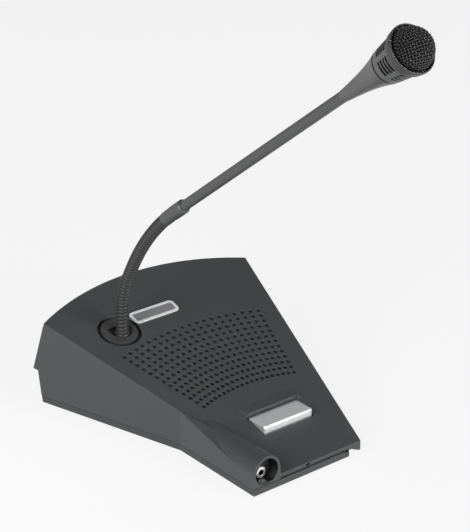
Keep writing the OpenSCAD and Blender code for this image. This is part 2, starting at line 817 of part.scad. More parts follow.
module ptt_key() {
    x0 = key_x - key_w / 2;
    x1 = key_x + key_w / 2;
    color("silver") difference() {
        union() {
            difference() {
                along_x(x0, x1) key_profile();
                translate([x0 + key_wall, key_y + key_wall, pin_z - 20])
                    cube([key_w - 2 * key_wall, key_d - 2 * key_wall, key_top - key_wall - pin_z + 20]);
            }
            for (side = [-1, 1])
                translate([key_x + side * (key_w / 2 - 4) - lug_t / 2, pin_y - 2.2, pin_z - 2.2])
                    cube([lug_t, 4.4, key_top - key_wall - pin_z + 2.4]);
            translate([key_x - 2, foot_y - 1.5, button_top])
                cube([4, 3, key_top - key_wall - button_top + 0.2]);
        }
        translate([x0 - 1, pin_y, pin_z]) rotate([0, 90, 0])
            cylinder(r = pin_r + pin_clear, h = key_w + 2, $fn = 24);
    }
}

module key_pin() {
    color("lightgray") translate([key_x - pin_half, pin_y, pin_z]) rotate([0, 90, 0])
        cylinder(r = pin_r, h = 2 * pin_half, $fn = 24);
}

// Leaf spring on the switch board, its free end under the key's front wall
module key_spring() {
    z0 = switch_board_z + board_t;
    rise = key_top - key_wall - 0.1 - z0;
    color("lightgray") along_x(key_x + 7, key_x + 11)
        polygon([[foot_y + 4, z0], [foot_y + 4, z0 + 0.4], [foot_y - 0.2, z0 + 0.4], [key_y + 3, z0 + rise],
            [key_y + 2.6, z0 + rise], [foot_y - 0.5, z0]]);
}

function switch_points() = [for (side = [-1, 1]) [key_x + side * 16, foot_y + 1]];

module switch_board() {
    color("seagreen") difference() {
        translate([key_x - 20, foot_y - 5, switch_board_z]) cube([40, 11, board_t]);
        for (p = switch_points())
            translate([p[0], p[1], 0]) cylinder(r = small_r + hole_clear, h = 40, $fn = 24);
    }
}

module switch_screws() {
    color("silver") for (p = switch_points()) {
        translate([p[0], p[1], switch_board_z + board_t])
            cylinder(r = small_head_r, h = small_head_h, $fn = 24);
        translate([p[0], p[1], switch_board_z - 2.8]) cylinder(r = small_r, h = board_t + 2.8, $fn = 24);
    }
}

module ptt_switch() {
    z0 = switch_board_z + board_t;
    color([0.15, 0.15, 0.17]) difference() {
        translate([key_x - 3, foot_y - 3, z0]) cube([6, 6, switch_h]);
        translate([key_x, foot_y, z0 + 1]) cylinder(r = 1.8, h = 10, $fn = 24);
    }
}

module switch_button() {
    color("firebrick") translate([key_x, foot_y, button_top - button_h - 1.2])
        cylinder(r = 1.7, h = button_h + 1.2, $fn = 24);
}

module badge_plate() {
    color("silver") on_top(badge_x, slope_v(badge_y)) difference() {
        linear_extrude(height = badge_proud) round_rect(badge_len, badge_w, badge_round);
        translate([0, 0, 0.3]) linear_extrude(height = 2)
            round_rect(badge_len - 2 * badge_edge, badge_w - 2 * badge_edge,
                badge_round - badge_edge > 0.5 ? badge_round - badge_edge : 0.5);
    }
}

module badge_inlay() {
    color("darkgray") on_top(badge_x, slope_v(badge_y), -0.3) linear_extrude(height = badge_proud - 0.4)
        round_rect(badge_len - 2 * badge_edge - 0.2, badge_w - 2 * badge_edge - 0.2,
            badge_round - badge_edge > 0.5 ? badge_round - badge_edge - 0.1 : 0.4);
}

// Silver mouth of the headset socket: a ring in front of the wall and a threaded neck through it
module jack_bush() {
    color("silver") translate([pod_x, mouth_y, jack_z]) rotate([90, 0, 0]) difference() {
        union() {
            cylinder(r = bush_r, h = 1.6, $fn = 48);
            translate([0, 0, -jack_wall]) cylinder(r = bush_r - 0.5, h = jack_wall + eps, $fn = 48);
        }
        translate([0, 0, -jack_wall - 1]) cylinder(r = jack_bore_r, h = 10, $fn = 48);
    }
}

module headset_jack() {
    y0 = mouth_y + jack_wall;
    color([0.12, 0.12, 0.14]) difference() {
        translate([pod_x - 5, y0, jack_z - 5]) cube([10, 14, 10]);
        translate([pod_x, y0 + 12, jack_z]) rotate([90, 0, 0])
            cylinder(r = jack_bore_r + 0.2, h = 20, $fn = 32);
    }
}

// Disc in the cover's hole, flange under the cover, and an upright boss for the ferrule
module stem_collar() {
    color([0.22, 0.22, 0.23]) difference() {
        union() {
            on_top(collar_x, collar_v, wall) cylinder(r = collar_r, h = wall + 0.3, $fn = 64);
            on_top(collar_x, collar_v, wall + collar_flange_t)
                cylinder(r = collar_flange_r, h = collar_flange_t, $fn = 64);
            translate([stem_x, stem_y, collar_low]) cylinder(r = ferrule_r + 3, h = 12, $fn = 48);
        }
        translate([stem_x, stem_y, 0]) cylinder(r = ferrule_r + hole_clear, h = big, $fn = 48);
        translate([stem_x, stem_y, ferrule_top - 1.6])
            cylinder(r1 = ferrule_r, r2 = ferrule_r + 5, h = 4, $fn = 48);
        for (a = [90, 210, 330])
            on_top(collar_x + collar_screw_r * cos(a), collar_v + collar_screw_r * sin(a), wall + 20)
                cylinder(r = small_r + hole_clear, h = 30, $fn = 24);
    }
}

module collar_screws() {
    color("silver") for (a = [90, 210, 330])
        on_top(collar_x + collar_screw_r * cos(a), collar_v + collar_screw_r * sin(a),
            wall + collar_flange_t) {
            translate([0, 0, -small_head_h]) cylinder(r = small_head_r, h = small_head_h, $fn = 24);
            cylinder(r = small_r, h = collar_flange_t + wall - 1.6, $fn = 24);
        }
}

// Upright metal socket that the neck stands on
module stem_ferrule() {
    color("gray") translate([stem_x, stem_y, ferrule_low]) difference() {
        cylinder(r = ferrule_r, h = ferrule_top - ferrule_low, $fn = 48);
        translate([0, 0, -1]) cylinder(r = neck_bore_r, h = big, $fn = 32);
    }
}

module stem_nut() {
    color("silver") translate([stem_x, stem_y, collar_low - 3.4]) difference() {
        cylinder(r = ferrule_r + 3.4, h = 3.4, $fn = 6);
        translate([0, 0, -1]) cylinder(r = ferrule_r + hole_clear, h = 10, $fn = 48);
    }
}

// The neck's line in its upright plane: straight, bend, straight, bend, straight
neck_parts = [[neck_run, 0], [lower_len, lower_turn], [neck_mid_run, 0], [upper_len, upper_turn],
    [neck_run, 0]];
neck_half = neck_run + lower_len + neck_mid_run / 2;
neck_total = 2 * neck_run + lower_len + neck_mid_run + upper_len;
heading = [cos(stem_heading), sin(stem_heading), 0];
aside = [-sin(stem_heading), cos(stem_heading), 0];
foot = [stem_x, stem_y, ferrule_top];

// A place on the line: how far along the heading, how high, and the lean from upright
function advance(st, len, turn) = abs(turn) < 0.001
    ? [st[0] + len * sin(st[2]), st[1] + len * cos(st[2]), st[2]]
    : let (r = len / (turn * PI / 180))
        [st[0] + r * (cos(st[2]) - cos(st[2] + turn)),
            st[1] + r * (sin(st[2] + turn) - sin(st[2])), st[2] + turn];
function neck_at(s, k = 0, st = [0, 0, 0]) = k == 4 || s <= neck_parts[k][0]
    ? advance(st, s, neck_parts[k][1] * s / neck_parts[k][0])
    : neck_at(s - neck_parts[k][0], k + 1, advance(st, neck_parts[k][0], neck_parts[k][1]));
function neck_ring(s, r, sides) = let (st = neck_at(s))
    [for (i = [0 : sides - 1]) let (t = 360 * i / sides)
        foot + heading * (st[0] + r * cos(t) * cos(st[2])) + aside * (r * sin(t))
            + [0, 0, st[1] - r * cos(t) * sin(st[2])]];

// Ribbed tube with a bore between two places on the line, and a smooth spigot at its far end
module ribbed_tube(s0, s1, spigot_len) {
    sides = 8;
    count = round((s1 - spigot_len - s0) / neck_pitch);
    step = (s1 - spigot_len - s0) / (2 * count);
    ribs = [for (k = [0 : 2 * count]) [s0 + k * step, neck_r - (k % 2 == 0 ? neck_rib : 0)]];
    line = spigot_len == 0 ? ribs : concat(ribs, [[s1 - spigot_len, spigot_r], [s1, spigot_r]]);
    outer = [for (q = line) each neck_ring(q[0], q[1], sides)];
    inner = [for (q = line) each neck_ring(q[0], neck_bore_r, sides)];
    rings = len(line);
    n = rings * sides;
    last = n - sides;
    walls = [for (k = [0 : rings - 2]) for (i = [0 : sides - 1])
        let (j = (i + 1) % sides, a = k * sides + i, b = k * sides + j, c = a + sides, d = b + sides)
            each [[a, c, b], [b, c, d]]];
    bore = [for (k = [0 : rings - 2]) if (line[k + 1][0] - line[k][0] > 0.001) for (i = [0 : sides - 1])
        let (j = (i + 1) % sides, a = n + k * sides + i, b = n + k * sides + j,
            c = a + sides, d = b + sides)
            each [[a, b, c], [b, d, c]]];
    ends = [for (i = [0 : sides - 1]) let (j = (i + 1) % sides)
        each [[i, j, n + i], [j, n + j, n + i],
            [last + i, n + last + i, last + j], [last + j, n + last + i, n + last + j]]];
    polyhedron(points = concat(outer, inner), faces = concat(walls, bore, ends));
}

module gooseneck_lower() {
    color([0.3, 0.3, 0.31]) ribbed_tube(0, neck_half, 0);
}

module gooseneck_upper() {
    color([0.34, 0.34, 0.35]) ribbed_tube(neck_half, neck_total, neck_run);
}

// Puts children on the stem's straight axis, z = 0 at the neck's end
stem_end = neck_at(neck_total);
module on_stem(z) {
    translate(foot + heading * stem_end[0] + [0, 0, stem_end[1]])
        rotate([0, stem_end[2], stem_heading]) translate([0, 0, z]) children();
}
sleeve_web = 1.5;
neck_seat = 0.15;
spigot_r = neck_r - 0.9;

module stem_sleeve() {
    color([0.3, 0.3, 0.31]) on_stem(-neck_run) difference() {
        rotate_extrude($fn = 48) polygon([[0, 0.05], [sleeve_r - 0.2, 0.05], [sleeve_r, 0.3],
            [sleeve_r, neck_run + sleeve_up - 1.4], [tube_r + 0.3, neck_run + sleeve_up],
            [0, neck_run + sleeve_up]]);
        translate([0, 0, -1]) cylinder(r = spigot_r + neck_seat, h = neck_run + 1, $fn = 48);
        translate([0, 0, -1]) cylinder(r = neck_bore_r, h = big, $fn = 32);
        translate([0, 0, neck_run + sleeve_web]) cylinder(r = tube_r + hole_clear, h = 40, $fn = 48);
    }
}

tube_in_head = 8;
module stem_tube() {
    color([0.36, 0.36, 0.37]) on_stem(sleeve_web) difference() {
        cylinder(r = tube_r, h = tube_len + tube_in_head - sleeve_web, $fn = 48);
        translate([0, 0, -1]) cylinder(r = tube_r - tube_wall, h = big, $fn = 32);
    }
}

// Head: cone, vented barrel and rim, one after the other along the stem
barrel_z = cone_len + groove_w;
rim_z = barrel_z + barrel_len;
rim_top = rim_z + rim_len;
spigot = 3;

module head_cone() {
    inner_r = groove_r - groove_w - head_wall;
    color([0.36, 0.36, 0.37]) on_stem(tube_len) difference() {
        rotate_extrude($fn = 64) polygon([[0, 0], [tube_r + 0.2, 0], [tube_r + 0.8, 5.2],
            [tube_r + (groove_r - tube_r) * 0.41, cone_len * 0.55], [groove_r, cone_len],
            [groove_r - groove_w, cone_len], [groove_r - groove_w, barrel_z + spigot],
            [0, barrel_z + spigot]]);
        translate([0, 0, -1]) cylinder(r = tube_r + hole_clear, h = tube_in_head + 1, $fn = 48);
        cylinder(r = tube_r - tube_wall, h = big, $fn = 32);
        translate([0, 0, tube_in_head + 4])
            cylinder(r1 = tube_r - tube_wall, r2 = inner_r, h = cone_len - tube_in_head - 4, $fn = 48);
        translate([0, 0, cone_len - eps]) cylinder(r = inner_r, h = 40, $fn = 48);
    }
}

// Barrel with groups of slots running round it
module head_barrel() {
    slot_step = (barrel_len - 3.4) / (vent_slots + 0.5);
    slot_angle = 360 / vent_groups * 0.62;
    color([0.33, 0.33, 0.34]) on_stem(tube_len + barrel_z) difference() {
        rotate_extrude($fn = 64) polygon([[groove_r - groove_w + 0.05, 0], [groove_r + 0.2, 0],
            [vent_r, barrel_len], [vent_r - head_wall, barrel_len],
            [groove_r - groove_w + 0.05, spigot + 1.5]]);
        for (g = [0 : vent_groups - 1])
            for (i = [0 : vent_slots - 1])
                rotate(vent_phase + 360 * g / vent_groups - slot_angle / 2)
                    translate([0, 0, spigot + 1.2 + i * slot_step])
                        rotate_extrude(angle = slot_angle, $fn = 64)
                            translate([groove_r - groove_w - 0.5, 0]) square([10, vent_w]);
    }
}

// Rim collar with an inner ledge for the dome
ledge_z = rim_top - 1.6;
rim_bore_r = vent_r - head_wall;
module head_rim() {
    color([0.36, 0.36, 0.37]) on_stem(tube_len) rotate_extrude($fn = 64) polygon([
        [rim_bore_r, rim_z], [vent_r + 0.4, rim_z], [vent_r + 0.8, rim_z + 0.8], [rim_r, rim_top - 0.8],
        [rim_r - 0.3, rim_top], [rim_r - 1, rim_top], [rim_r - 1, ledge_z], [rim_bore_r, ledge_z]]);
}

// Dome of fine wire mesh, standing on the ledge
dome_base_r = rim_r - 1 - dome_gap;
dome_rise = dome_h + rim_top - ledge_z;
dome_r = (pow(dome_base_r, 2) + pow(dome_rise, 2)) / (2 * dome_rise);
module head_mesh() {
    color([0.2, 0.2, 0.21]) on_stem(tube_len + ledge_z) rotate_extrude($fn = 64) intersection() {
        difference() {
            translate([0, dome_rise - dome_r]) circle(r = dome_r, $fn = 96);
            translate([0, dome_rise - dome_r]) circle(r = dome_r - dome_t, $fn = 96);
        }
        square([dome_base_r + 1, dome_rise + 1]);
    }
}

// Foam disc between mesh and capsule
foam_t = 2.4;
foam_low = 1.1;
foam_reach = sqrt(pow(dome_r - dome_t, 2) - pow(foam_t - foam_low - dome_rise + dome_r, 2)) - 0.3;
foam_r = min(rim_bore_r - 0.2, foam_reach);
capsule_r = 4.8;
capsule_h = 6;
capsule_z = ledge_z - 1.2 - capsule_h - 1;
module wind_foam() {
    color([0.1, 0.1, 0.1]) on_stem(tube_len + ledge_z - foam_low)
        cylinder(r = foam_r, h = foam_t, $fn = 48);
}

module mic_capsule() {
    color("lightgray") on_stem(tube_len + capsule_z + 1) cylinder(r = capsule_r, h = capsule_h, $fn = 48);
}

// Rubber cup that holds the capsule in the rim, and narrows into the barrel below it
barrel_slope = (vent_r - head_wall - groove_r + groove_w - 0.05) / (barrel_len - spigot - 1.5);
cup_wide_z = max(rim_z + 0.2, capsule_z + 0.4);
cup_low_r = rim_bore_r - 0.3 - (cup_wide_z - capsule_z) * barrel_slope;
module capsule_cup() {
    color([0.14, 0.14, 0.14]) on_stem(tube_len) difference() {
        rotate_extrude($fn = 48) polygon([[0, capsule_z], [cup_low_r, capsule_z],
            [rim_bore_r - 0.1, cup_wide_z + 0.3], [rim_bore_r - 0.1, capsule_z + capsule_h + 0.8],
            [0, capsule_z + capsule_h + 0.8]]);
        translate([0, 0, capsule_z + 1]) cylinder(r = capsule_r + 0.05, h = 40, $fn = 48);
        translate([0, 0, capsule_z - 1]) cylinder(r = 2, h = 40, $fn = 32);
    }
}

top_cover();
base_shell();
grip_mat();
ballast_plate();
case_screws();
main_board();
board_parts();
board_screws();
bus_sockets();
grille_cloth();
speaker_frame();
speaker_cone();
speaker_magnet();
speaker_screws();
ptt_key();
key_pin();
key_spring();
switch_board();
switch_screws();
ptt_switch();
switch_button();
badge_plate();
badge_inlay();
jack_bush();
headset_jack();
stem_collar();
collar_screws();
stem_ferrule();
stem_nut();
gooseneck_lower();
gooseneck_upper();
stem_sleeve();
stem_tube();
head_cone();
head_barrel();
head_rim();
head_mesh();
wind_foam();
mic_capsule();
capsule_cup();
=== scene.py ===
import json
import bpy
import numpy as np
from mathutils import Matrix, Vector


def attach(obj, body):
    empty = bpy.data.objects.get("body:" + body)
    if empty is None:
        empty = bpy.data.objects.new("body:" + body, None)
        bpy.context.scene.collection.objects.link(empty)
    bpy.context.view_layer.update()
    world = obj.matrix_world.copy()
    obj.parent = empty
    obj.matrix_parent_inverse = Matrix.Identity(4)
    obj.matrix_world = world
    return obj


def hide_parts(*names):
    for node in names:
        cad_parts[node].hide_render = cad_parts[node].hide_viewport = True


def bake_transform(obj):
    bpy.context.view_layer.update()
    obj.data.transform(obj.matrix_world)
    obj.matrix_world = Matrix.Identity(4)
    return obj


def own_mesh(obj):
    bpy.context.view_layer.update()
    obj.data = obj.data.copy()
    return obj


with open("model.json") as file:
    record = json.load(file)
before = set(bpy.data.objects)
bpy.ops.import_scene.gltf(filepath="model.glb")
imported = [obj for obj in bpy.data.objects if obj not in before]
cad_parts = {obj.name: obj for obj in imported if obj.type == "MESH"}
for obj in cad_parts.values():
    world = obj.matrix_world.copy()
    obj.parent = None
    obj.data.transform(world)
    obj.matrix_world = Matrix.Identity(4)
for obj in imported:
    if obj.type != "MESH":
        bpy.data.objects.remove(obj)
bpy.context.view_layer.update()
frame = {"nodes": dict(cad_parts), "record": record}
nodes = frame["nodes"]
scene = bpy.context.scene
mm = 0.001
print("frame loaded:", len(nodes), "nodes")

# camera: the photograph's viewing angle, image taken as 470 x 532
view = dict(azimuth=-39.138, elevation=23.89, place=(-0.621303, -0.784912, 0.539819),
            focalPixels=1812.81, middle=(236.83, 266.14), image=(470, 532), sensor=36.0)


def makeCamera():
    camera = bpy.data.cameras.new("viewCamera")
    body = bpy.data.objects.new("viewCamera", camera)
    scene.collection.objects.link(body)
    a, e = np.radians(view["azimuth"]), np.radians(view["elevation"])
    back = Vector((np.sin(a) * np.cos(e), -np.cos(a) * np.cos(e), np.sin(e)))
    longSide = max(view["image"])
    camera.sensor_width = view["sensor"]
    camera.lens = view["focalPixels"] / longSide * view["sensor"]
    camera.shift_x = -(view["middle"][0] - view["image"][0] / 2) / longSide
    camera.shift_y = (view["middle"][1] - view["image"][1] / 2) / longSide
    camera.clip_start, camera.clip_end = 0.05, 50
    body.location = view["place"]
    body.rotation_mode = "QUATERNION"
    body.rotation_quaternion = (-back).to_track_quat("-Z", "Y")
    scene.camera = body


makeCamera()

# studio: pale floor and surround, a softbox to the left, one in front and a gridded lamp on the head
studio = dict(surround=0.06, tint=(0.97, 0.985, 1.0, 1), gloss=0.25, floorWhite=0.86, floorTone=0.82,
              floorHalf=6.0, floorZ=-0.0003,
              # name, place, size, level, aim, spread in degrees
              lamps=[("leftSoftbox", (-1.15, -0.25, 0.60), 0.8, 0.93, (0, 0, 0.09), 180),
                     ("frontSoftbox", (0.55, -1.50, 0.38), 1.0, 0.95, (0, 0, 0.09), 180),
                     ("headGrid", (0.54, -1.10, 1.19), 0.2, 0.90, (-0.04, -0.20, 0.285), 9)])


def addNode(tree, kind, sockets=None, **settings):
    # a node with settings and plain socket values in one call
    node = tree.nodes.new(kind)
    for key, value in settings.items():
        setattr(node, key, value)
    for key, value in (sockets or {}).items():
        node.inputs[key].default_value = value
    return node


def lightMask(tree, camera, gloss):
    # camera rays see the white of the background, glossy rays a share of it
    link = tree.links.new
    path = tree.nodes.new("ShaderNodeLightPath")
    bounced = addNode(tree, "ShaderNodeMath", operation="MAXIMUM")
    mirrored = addNode(tree, "ShaderNodeMath", {1: gloss}, operation="MULTIPLY")
    seen = addNode(tree, "ShaderNodeMath", {1: camera}, operation="MULTIPLY")
    top = addNode(tree, "ShaderNodeMath", operation="MAXIMUM")
    link(path.outputs["Is Glossy Ray"], bounced.inputs[0])
    link(path.outputs["Is Transmission Ray"], bounced.inputs[1])
    link(bounced.outputs[0], mirrored.inputs[0])
    link(path.outputs["Is Camera Ray"], seen.inputs[0])
    link(seen.outputs[0], top.inputs[0])
    link(mirrored.outputs[0], top.inputs[1])
    return top.outputs[0]


def makeStudio():
    scene.view_settings.view_transform = "Standard"
    world = bpy.data.worlds.new("studioWorld")
    scene.world = world
    world.use_nodes = True
    tree = world.node_tree
    tree.nodes.clear()
    soft = addNode(tree, "ShaderNodeBackground", {"Color": studio["tint"], "Strength": studio["surround"]})
    white = addNode(tree, "ShaderNodeBackground", {"Color": (1, 1, 1, 1), "Strength": 1.0})
    mix = tree.nodes.new("ShaderNodeMixShader")
    out = tree.nodes.new("ShaderNodeOutputWorld")
    tree.links.new(lightMask(tree, 1.0, studio["gloss"]), mix.inputs[0])
    tree.links.new(soft.outputs[0], mix.inputs[1])
    tree.links.new(white.outputs[0], mix.inputs[2])
    tree.links.new(mix.outputs[0], out.inputs[0])

    h, z = studio["floorHalf"], studio["floorZ"]
    mesh = bpy.data.meshes.new("studioFloor")
    mesh.from_pydata([(-h, -h, z), (h, -h, z), (h, h, z), (-h, h, z)], [], [(0, 1, 2, 3)])
    floor = bpy.data.objects.new("studioFloor", mesh)
    scene.collection.objects.link(floor)
    paint = bpy.data.materials.new("floorPaint")
    paint.use_nodes = True
    tree = paint.node_tree
    tree.nodes.clear()
    matt = addNode(tree, "ShaderNodeBsdfDiffuse", {"Color": (studio["floorTone"],) * 3 + (1,)})
    glow = tree.nodes.new("ShaderNodeEmission")
    mix = tree.nodes.new("ShaderNodeMixShader")
    out = tree.nodes.new("ShaderNodeOutputMaterial")
    tree.links.new(lightMask(tree, studio["floorWhite"], studio["floorWhite"]), mix.inputs[0])
    tree.links.new(matt.outputs[0], mix.inputs[1])
    tree.links.new(glow.outputs[0], mix.inputs[2])
    tree.links.new(mix.outputs[0], out.inputs[0])
    mesh.materials.append(paint)

    for name, place, size, level, aim, spread in studio["lamps"]:
        lamp = bpy.data.lights.new(name, "AREA")
        lamp.shape = "SQUARE"
        lamp.size = size
        body = bpy.data.objects.new(name, lamp)
        body.location = place
        reach = Vector(place) - Vector(aim)
        body.rotation_mode = "QUATERNION"
        body.rotation_quaternion = reach.to_track_quat("Z", "Y")
        lamp.energy = level * np.pi ** 2 * reach.length_squared  # level 1: a white face renders white
        if spread < 180:
            # a gridded lamp keeps its power in a narrow beam, so its level is scaled back
            lamp.spread = np.radians(spread)
            half = lamp.spread / 2
            lamp.energy *= 1 - half / np.tan(half)
        scene.collection.objects.link(body)


makeStudio()
print("camera and studio ready")


# meshes from numpy grids
def gridFaces(rows, cols, wrapRows=False, wrapCols=False):
    # quad (i, j) joins grid points i, i+1 and j, j+1, with wrap-round where asked
    i = np.arange(rows if wrapRows else rows - 1)
    j = np.arange(cols if wrapCols else cols - 1)
    i, j = np.meshgrid(i, j, indexing="ij")
    i2, j2 = (i + 1) % rows, (j + 1) % cols
    return np.stack([i * cols + j, i * cols + j2, i2 * cols + j2, i2 * cols + j], -1).reshape(-1, 4)


def putMesh(name, points, faces, finish, creaseAngle=40, extra=None):
    # points in metres, faces as a list of whole arrays; edges over the crease angle stay sharp
    mesh = bpy.data.meshes.new(name)
    mesh.from_pydata(np.asarray(points, float).reshape(-1, 3), [], [f for rows in faces for f in rows.tolist()])
    mesh.polygons.foreach_set("use_smooth", np.ones(len(mesh.polygons), bool))
    mesh.set_sharp_from_angle(angle=np.radians(creaseAngle))
    for label, values in (extra or {}).items():
        layer = mesh.attributes.new(label, "FLOAT", "POINT")
        layer.data.foreach_set("value", np.asarray(values, np.float32).ravel())
    mesh.materials.append(finish)
    mesh.update()
    piece = bpy.data.objects.new(name, mesh)
    scene.collection.objects.link(piece)
    return piece


def roundCorners(points, radius, steps=5):
    # each corner of a profile becomes an arc: a quadratic curve between points set back along its two sides
    points, out = np.asarray(points, float), []
    radius = np.broadcast_to(radius, len(points))
    t = np.linspace(0, 1, steps)[:, None]
    for p0, p1, p2, r in zip(np.roll(points, 1, 0), points, np.roll(points, -1, 0), radius):
        a, b = p0 - p1, p2 - p1
        la, lb = np.linalg.norm(a), np.linalg.norm(b)
        back = min(r, 0.48 * la, 0.48 * lb)
        if back < 1e-5:
            out.append(p1[None])
            continue
        s, e = p1 + a / la * back, p1 + b / lb * back
        out.append((1 - t) ** 2 * s + 2 * t * (1 - t) * p1 + t ** 2 * e)
    return np.vstack(out)


# the neck's line: straight runs and arcs in one upright plane, as in the CAD part
neck = dict(foot=(-40.0, 41.5, 48.543), heading=-90.0,
            parts=((8.0, 0.0), (36.0, 29.4), (7.8, 0.0), (63.5, 23.4), (8.0, 0.0)),
            crest=3.9, bore=1.8, groove=0.95, pitch=2.45, perTurn=14, sides=56, begin=0.02, boreStep=6)
headingAngle = np.radians(neck["heading"])
heading = np.array([np.cos(headingAngle), np.sin(headingAngle), 0])
aside = np.array([-np.sin(headingAngle), np.cos(headingAngle), 0])
upward = np.array([0, 0, 1.0])
neckMarks = np.cumsum([0] + [p[0] for p in neck["parts"]])
neckLeans = np.radians(np.cumsum([0] + [p[1] for p in neck["parts"]]))
fineSteps = np.linspace(0, neckMarks[-1], 6001)
fineLeans = np.interp(fineSteps, neckMarks, neckLeans)


def runningSum(values):
    # trapezium sum along the fine steps
    return np.concatenate([[0], np.cumsum((values[1:] + values[:-1]) / 2 * np.diff(fineSteps))])


fineReach, fineRise = runningSum(np.sin(fineLeans)), runningSum(np.cos(fineLeans))


def neckLine(s):
    # place along the neck, and the direction across it in the bending plane
    s = np.asarray(s, float)
    lean = np.interp(s, neckMarks, neckLeans)[..., None]
    place = (np.array(neck["foot"]) + np.interp(s, fineSteps, fineReach)[..., None] * heading
             + np.interp(s, fineSteps, fineRise)[..., None] * upward)
    return place, heading * np.cos(lean) - upward * np.sin(lean)


stemStart, stemSide = neckLine(neckMarks[-1])
stemAxis = np.cross(stemSide, aside)
stemFrame = (stemStart, stemSide, aside, stemAxis)


def spun(name, profile, finish, start=0.0, turns=96, creaseAngle=35, extra=None, frameOf=stemFrame):
    # closed profile (radius, height) turned about an axis: point = axis * height + radius * (side cos + across sin)
    profile = np.asarray(profile, float)
    origin, side, across, axis = frameOf
    angle = np.linspace(0, 2 * np.pi, turns, endpoint=False)
    ring = np.cos(angle)[:, None] * side + np.sin(angle)[:, None] * across
    points = (origin + (profile[:, 1] + start)[:, None, None] * axis + profile[:, 0][:, None, None] * ring[None])
    faces = gridFaces(len(profile), turns, True, True)
    return putMesh(name, points * mm, [faces], finish, creaseAngle, extra)


def spunSolid(name, profile, finish, start=0.0, turns=96, creaseAngle=35, frameOf=stemFrame):
    # open profile turned about an axis, from the pole below to the pole above, where fans of triangles close it
    profile = np.asarray(profile, float)
    origin, side, across, axis = frameOf
    angle = np.linspace(0, 2 * np.pi, turns, endpoint=False)
    ring = np.cos(angle)[:, None] * side + np.sin(angle)[:, None] * across
    rings = (origin + (profile[1:-1, 1] + start)[:, None, None] * axis
             + profile[1:-1, 0][:, None, None] * ring[None]).reshape(-1, 3)
    poles = origin + (profile[[0, -1], 1] + start)[:, None] * axis
    j = np.arange(turns)
    last = len(rings) - turns
    below = np.stack([np.full(turns, len(rings)), (j + 1) % turns, j], 1)
    above = np.stack([np.full(turns, len(rings) + 1), last + j, last + (j + 1) % turns], 1)
    faces = [gridFaces(len(profile) - 2, turns, False, True), below, above]
    return putMesh(name, np.vstack([rings, poles]) * mm, faces, finish, creaseAngle)


def barSet(line, lifted, sideways, thick, sides):
    # round bars along many lines at once: point = line + thick * (lifted cos + sideways sin), with flat ends
    bars, samples = line.shape[:2]
    turn = np.linspace(0, 2 * np.pi, sides, endpoint=False)[:, None]
    ring = line[:, :, None] + thick * (np.cos(turn) * lifted[:, :, None] + np.sin(turn) * sideways[:, :, None])
    first = np.arange(bars)[:, None, None] * samples * sides
    walls = (gridFaces(samples, sides, False, True)[None] + first).reshape(-1, 4)
    foot = first[:, 0] + np.arange(sides)[None, ::-1]
    tip = first[:, 0] + (samples - 1) * sides + np.arange(sides)[None]
    return ring.reshape(-1, 3), [walls, foot, tip]


# finishes
def newGroup(name, inputs, outputs):
    group = bpy.data.node_groups.new(name, "ShaderNodeTree")
    for label, kind, value in inputs:
        socket = group.interface.new_socket(label, in_out="INPUT", socket_type=kind)
        if value is not None:
            socket.default_value = value
    for label, kind in outputs:
        group.interface.new_socket(label, in_out="OUTPUT", socket_type=kind)
    return group, group.nodes.new("NodeGroupInput"), group.nodes.new("NodeGroupOutput")


def makeMouldGrain():
    # fine spark-eroded grain: two noises and the pits between them, as a height from 0 to 1
    group, enter, leave = newGroup(
        "mouldGrain", [("Vector", "NodeSocketVector", None), ("Scale", "NodeSocketFloat", 2600.0)],
        [("Height", "NodeSocketFloat")])
    link = group.links.new
    fine = addNode(group, "ShaderNodeTexNoise", {"Detail": 3.0, "Roughness": 0.6})
    pits = addNode(group, "ShaderNodeTexVoronoi", {"Randomness": 1.0}, feature="SMOOTH_F1")
    mix = addNode(group, "ShaderNodeMix", {0: 0.45}, data_type="FLOAT")
    for node in (fine, pits):
        link(enter.outputs["Vector"], node.inputs["Vector"])
        link(enter.outputs["Scale"], node.inputs["Scale"])
    link(fine.outputs[0], mix.inputs[2])
    link(pits.outputs["Distance"], mix.inputs[3])
    link(mix.outputs[0], leave.inputs["Height"])
    return group


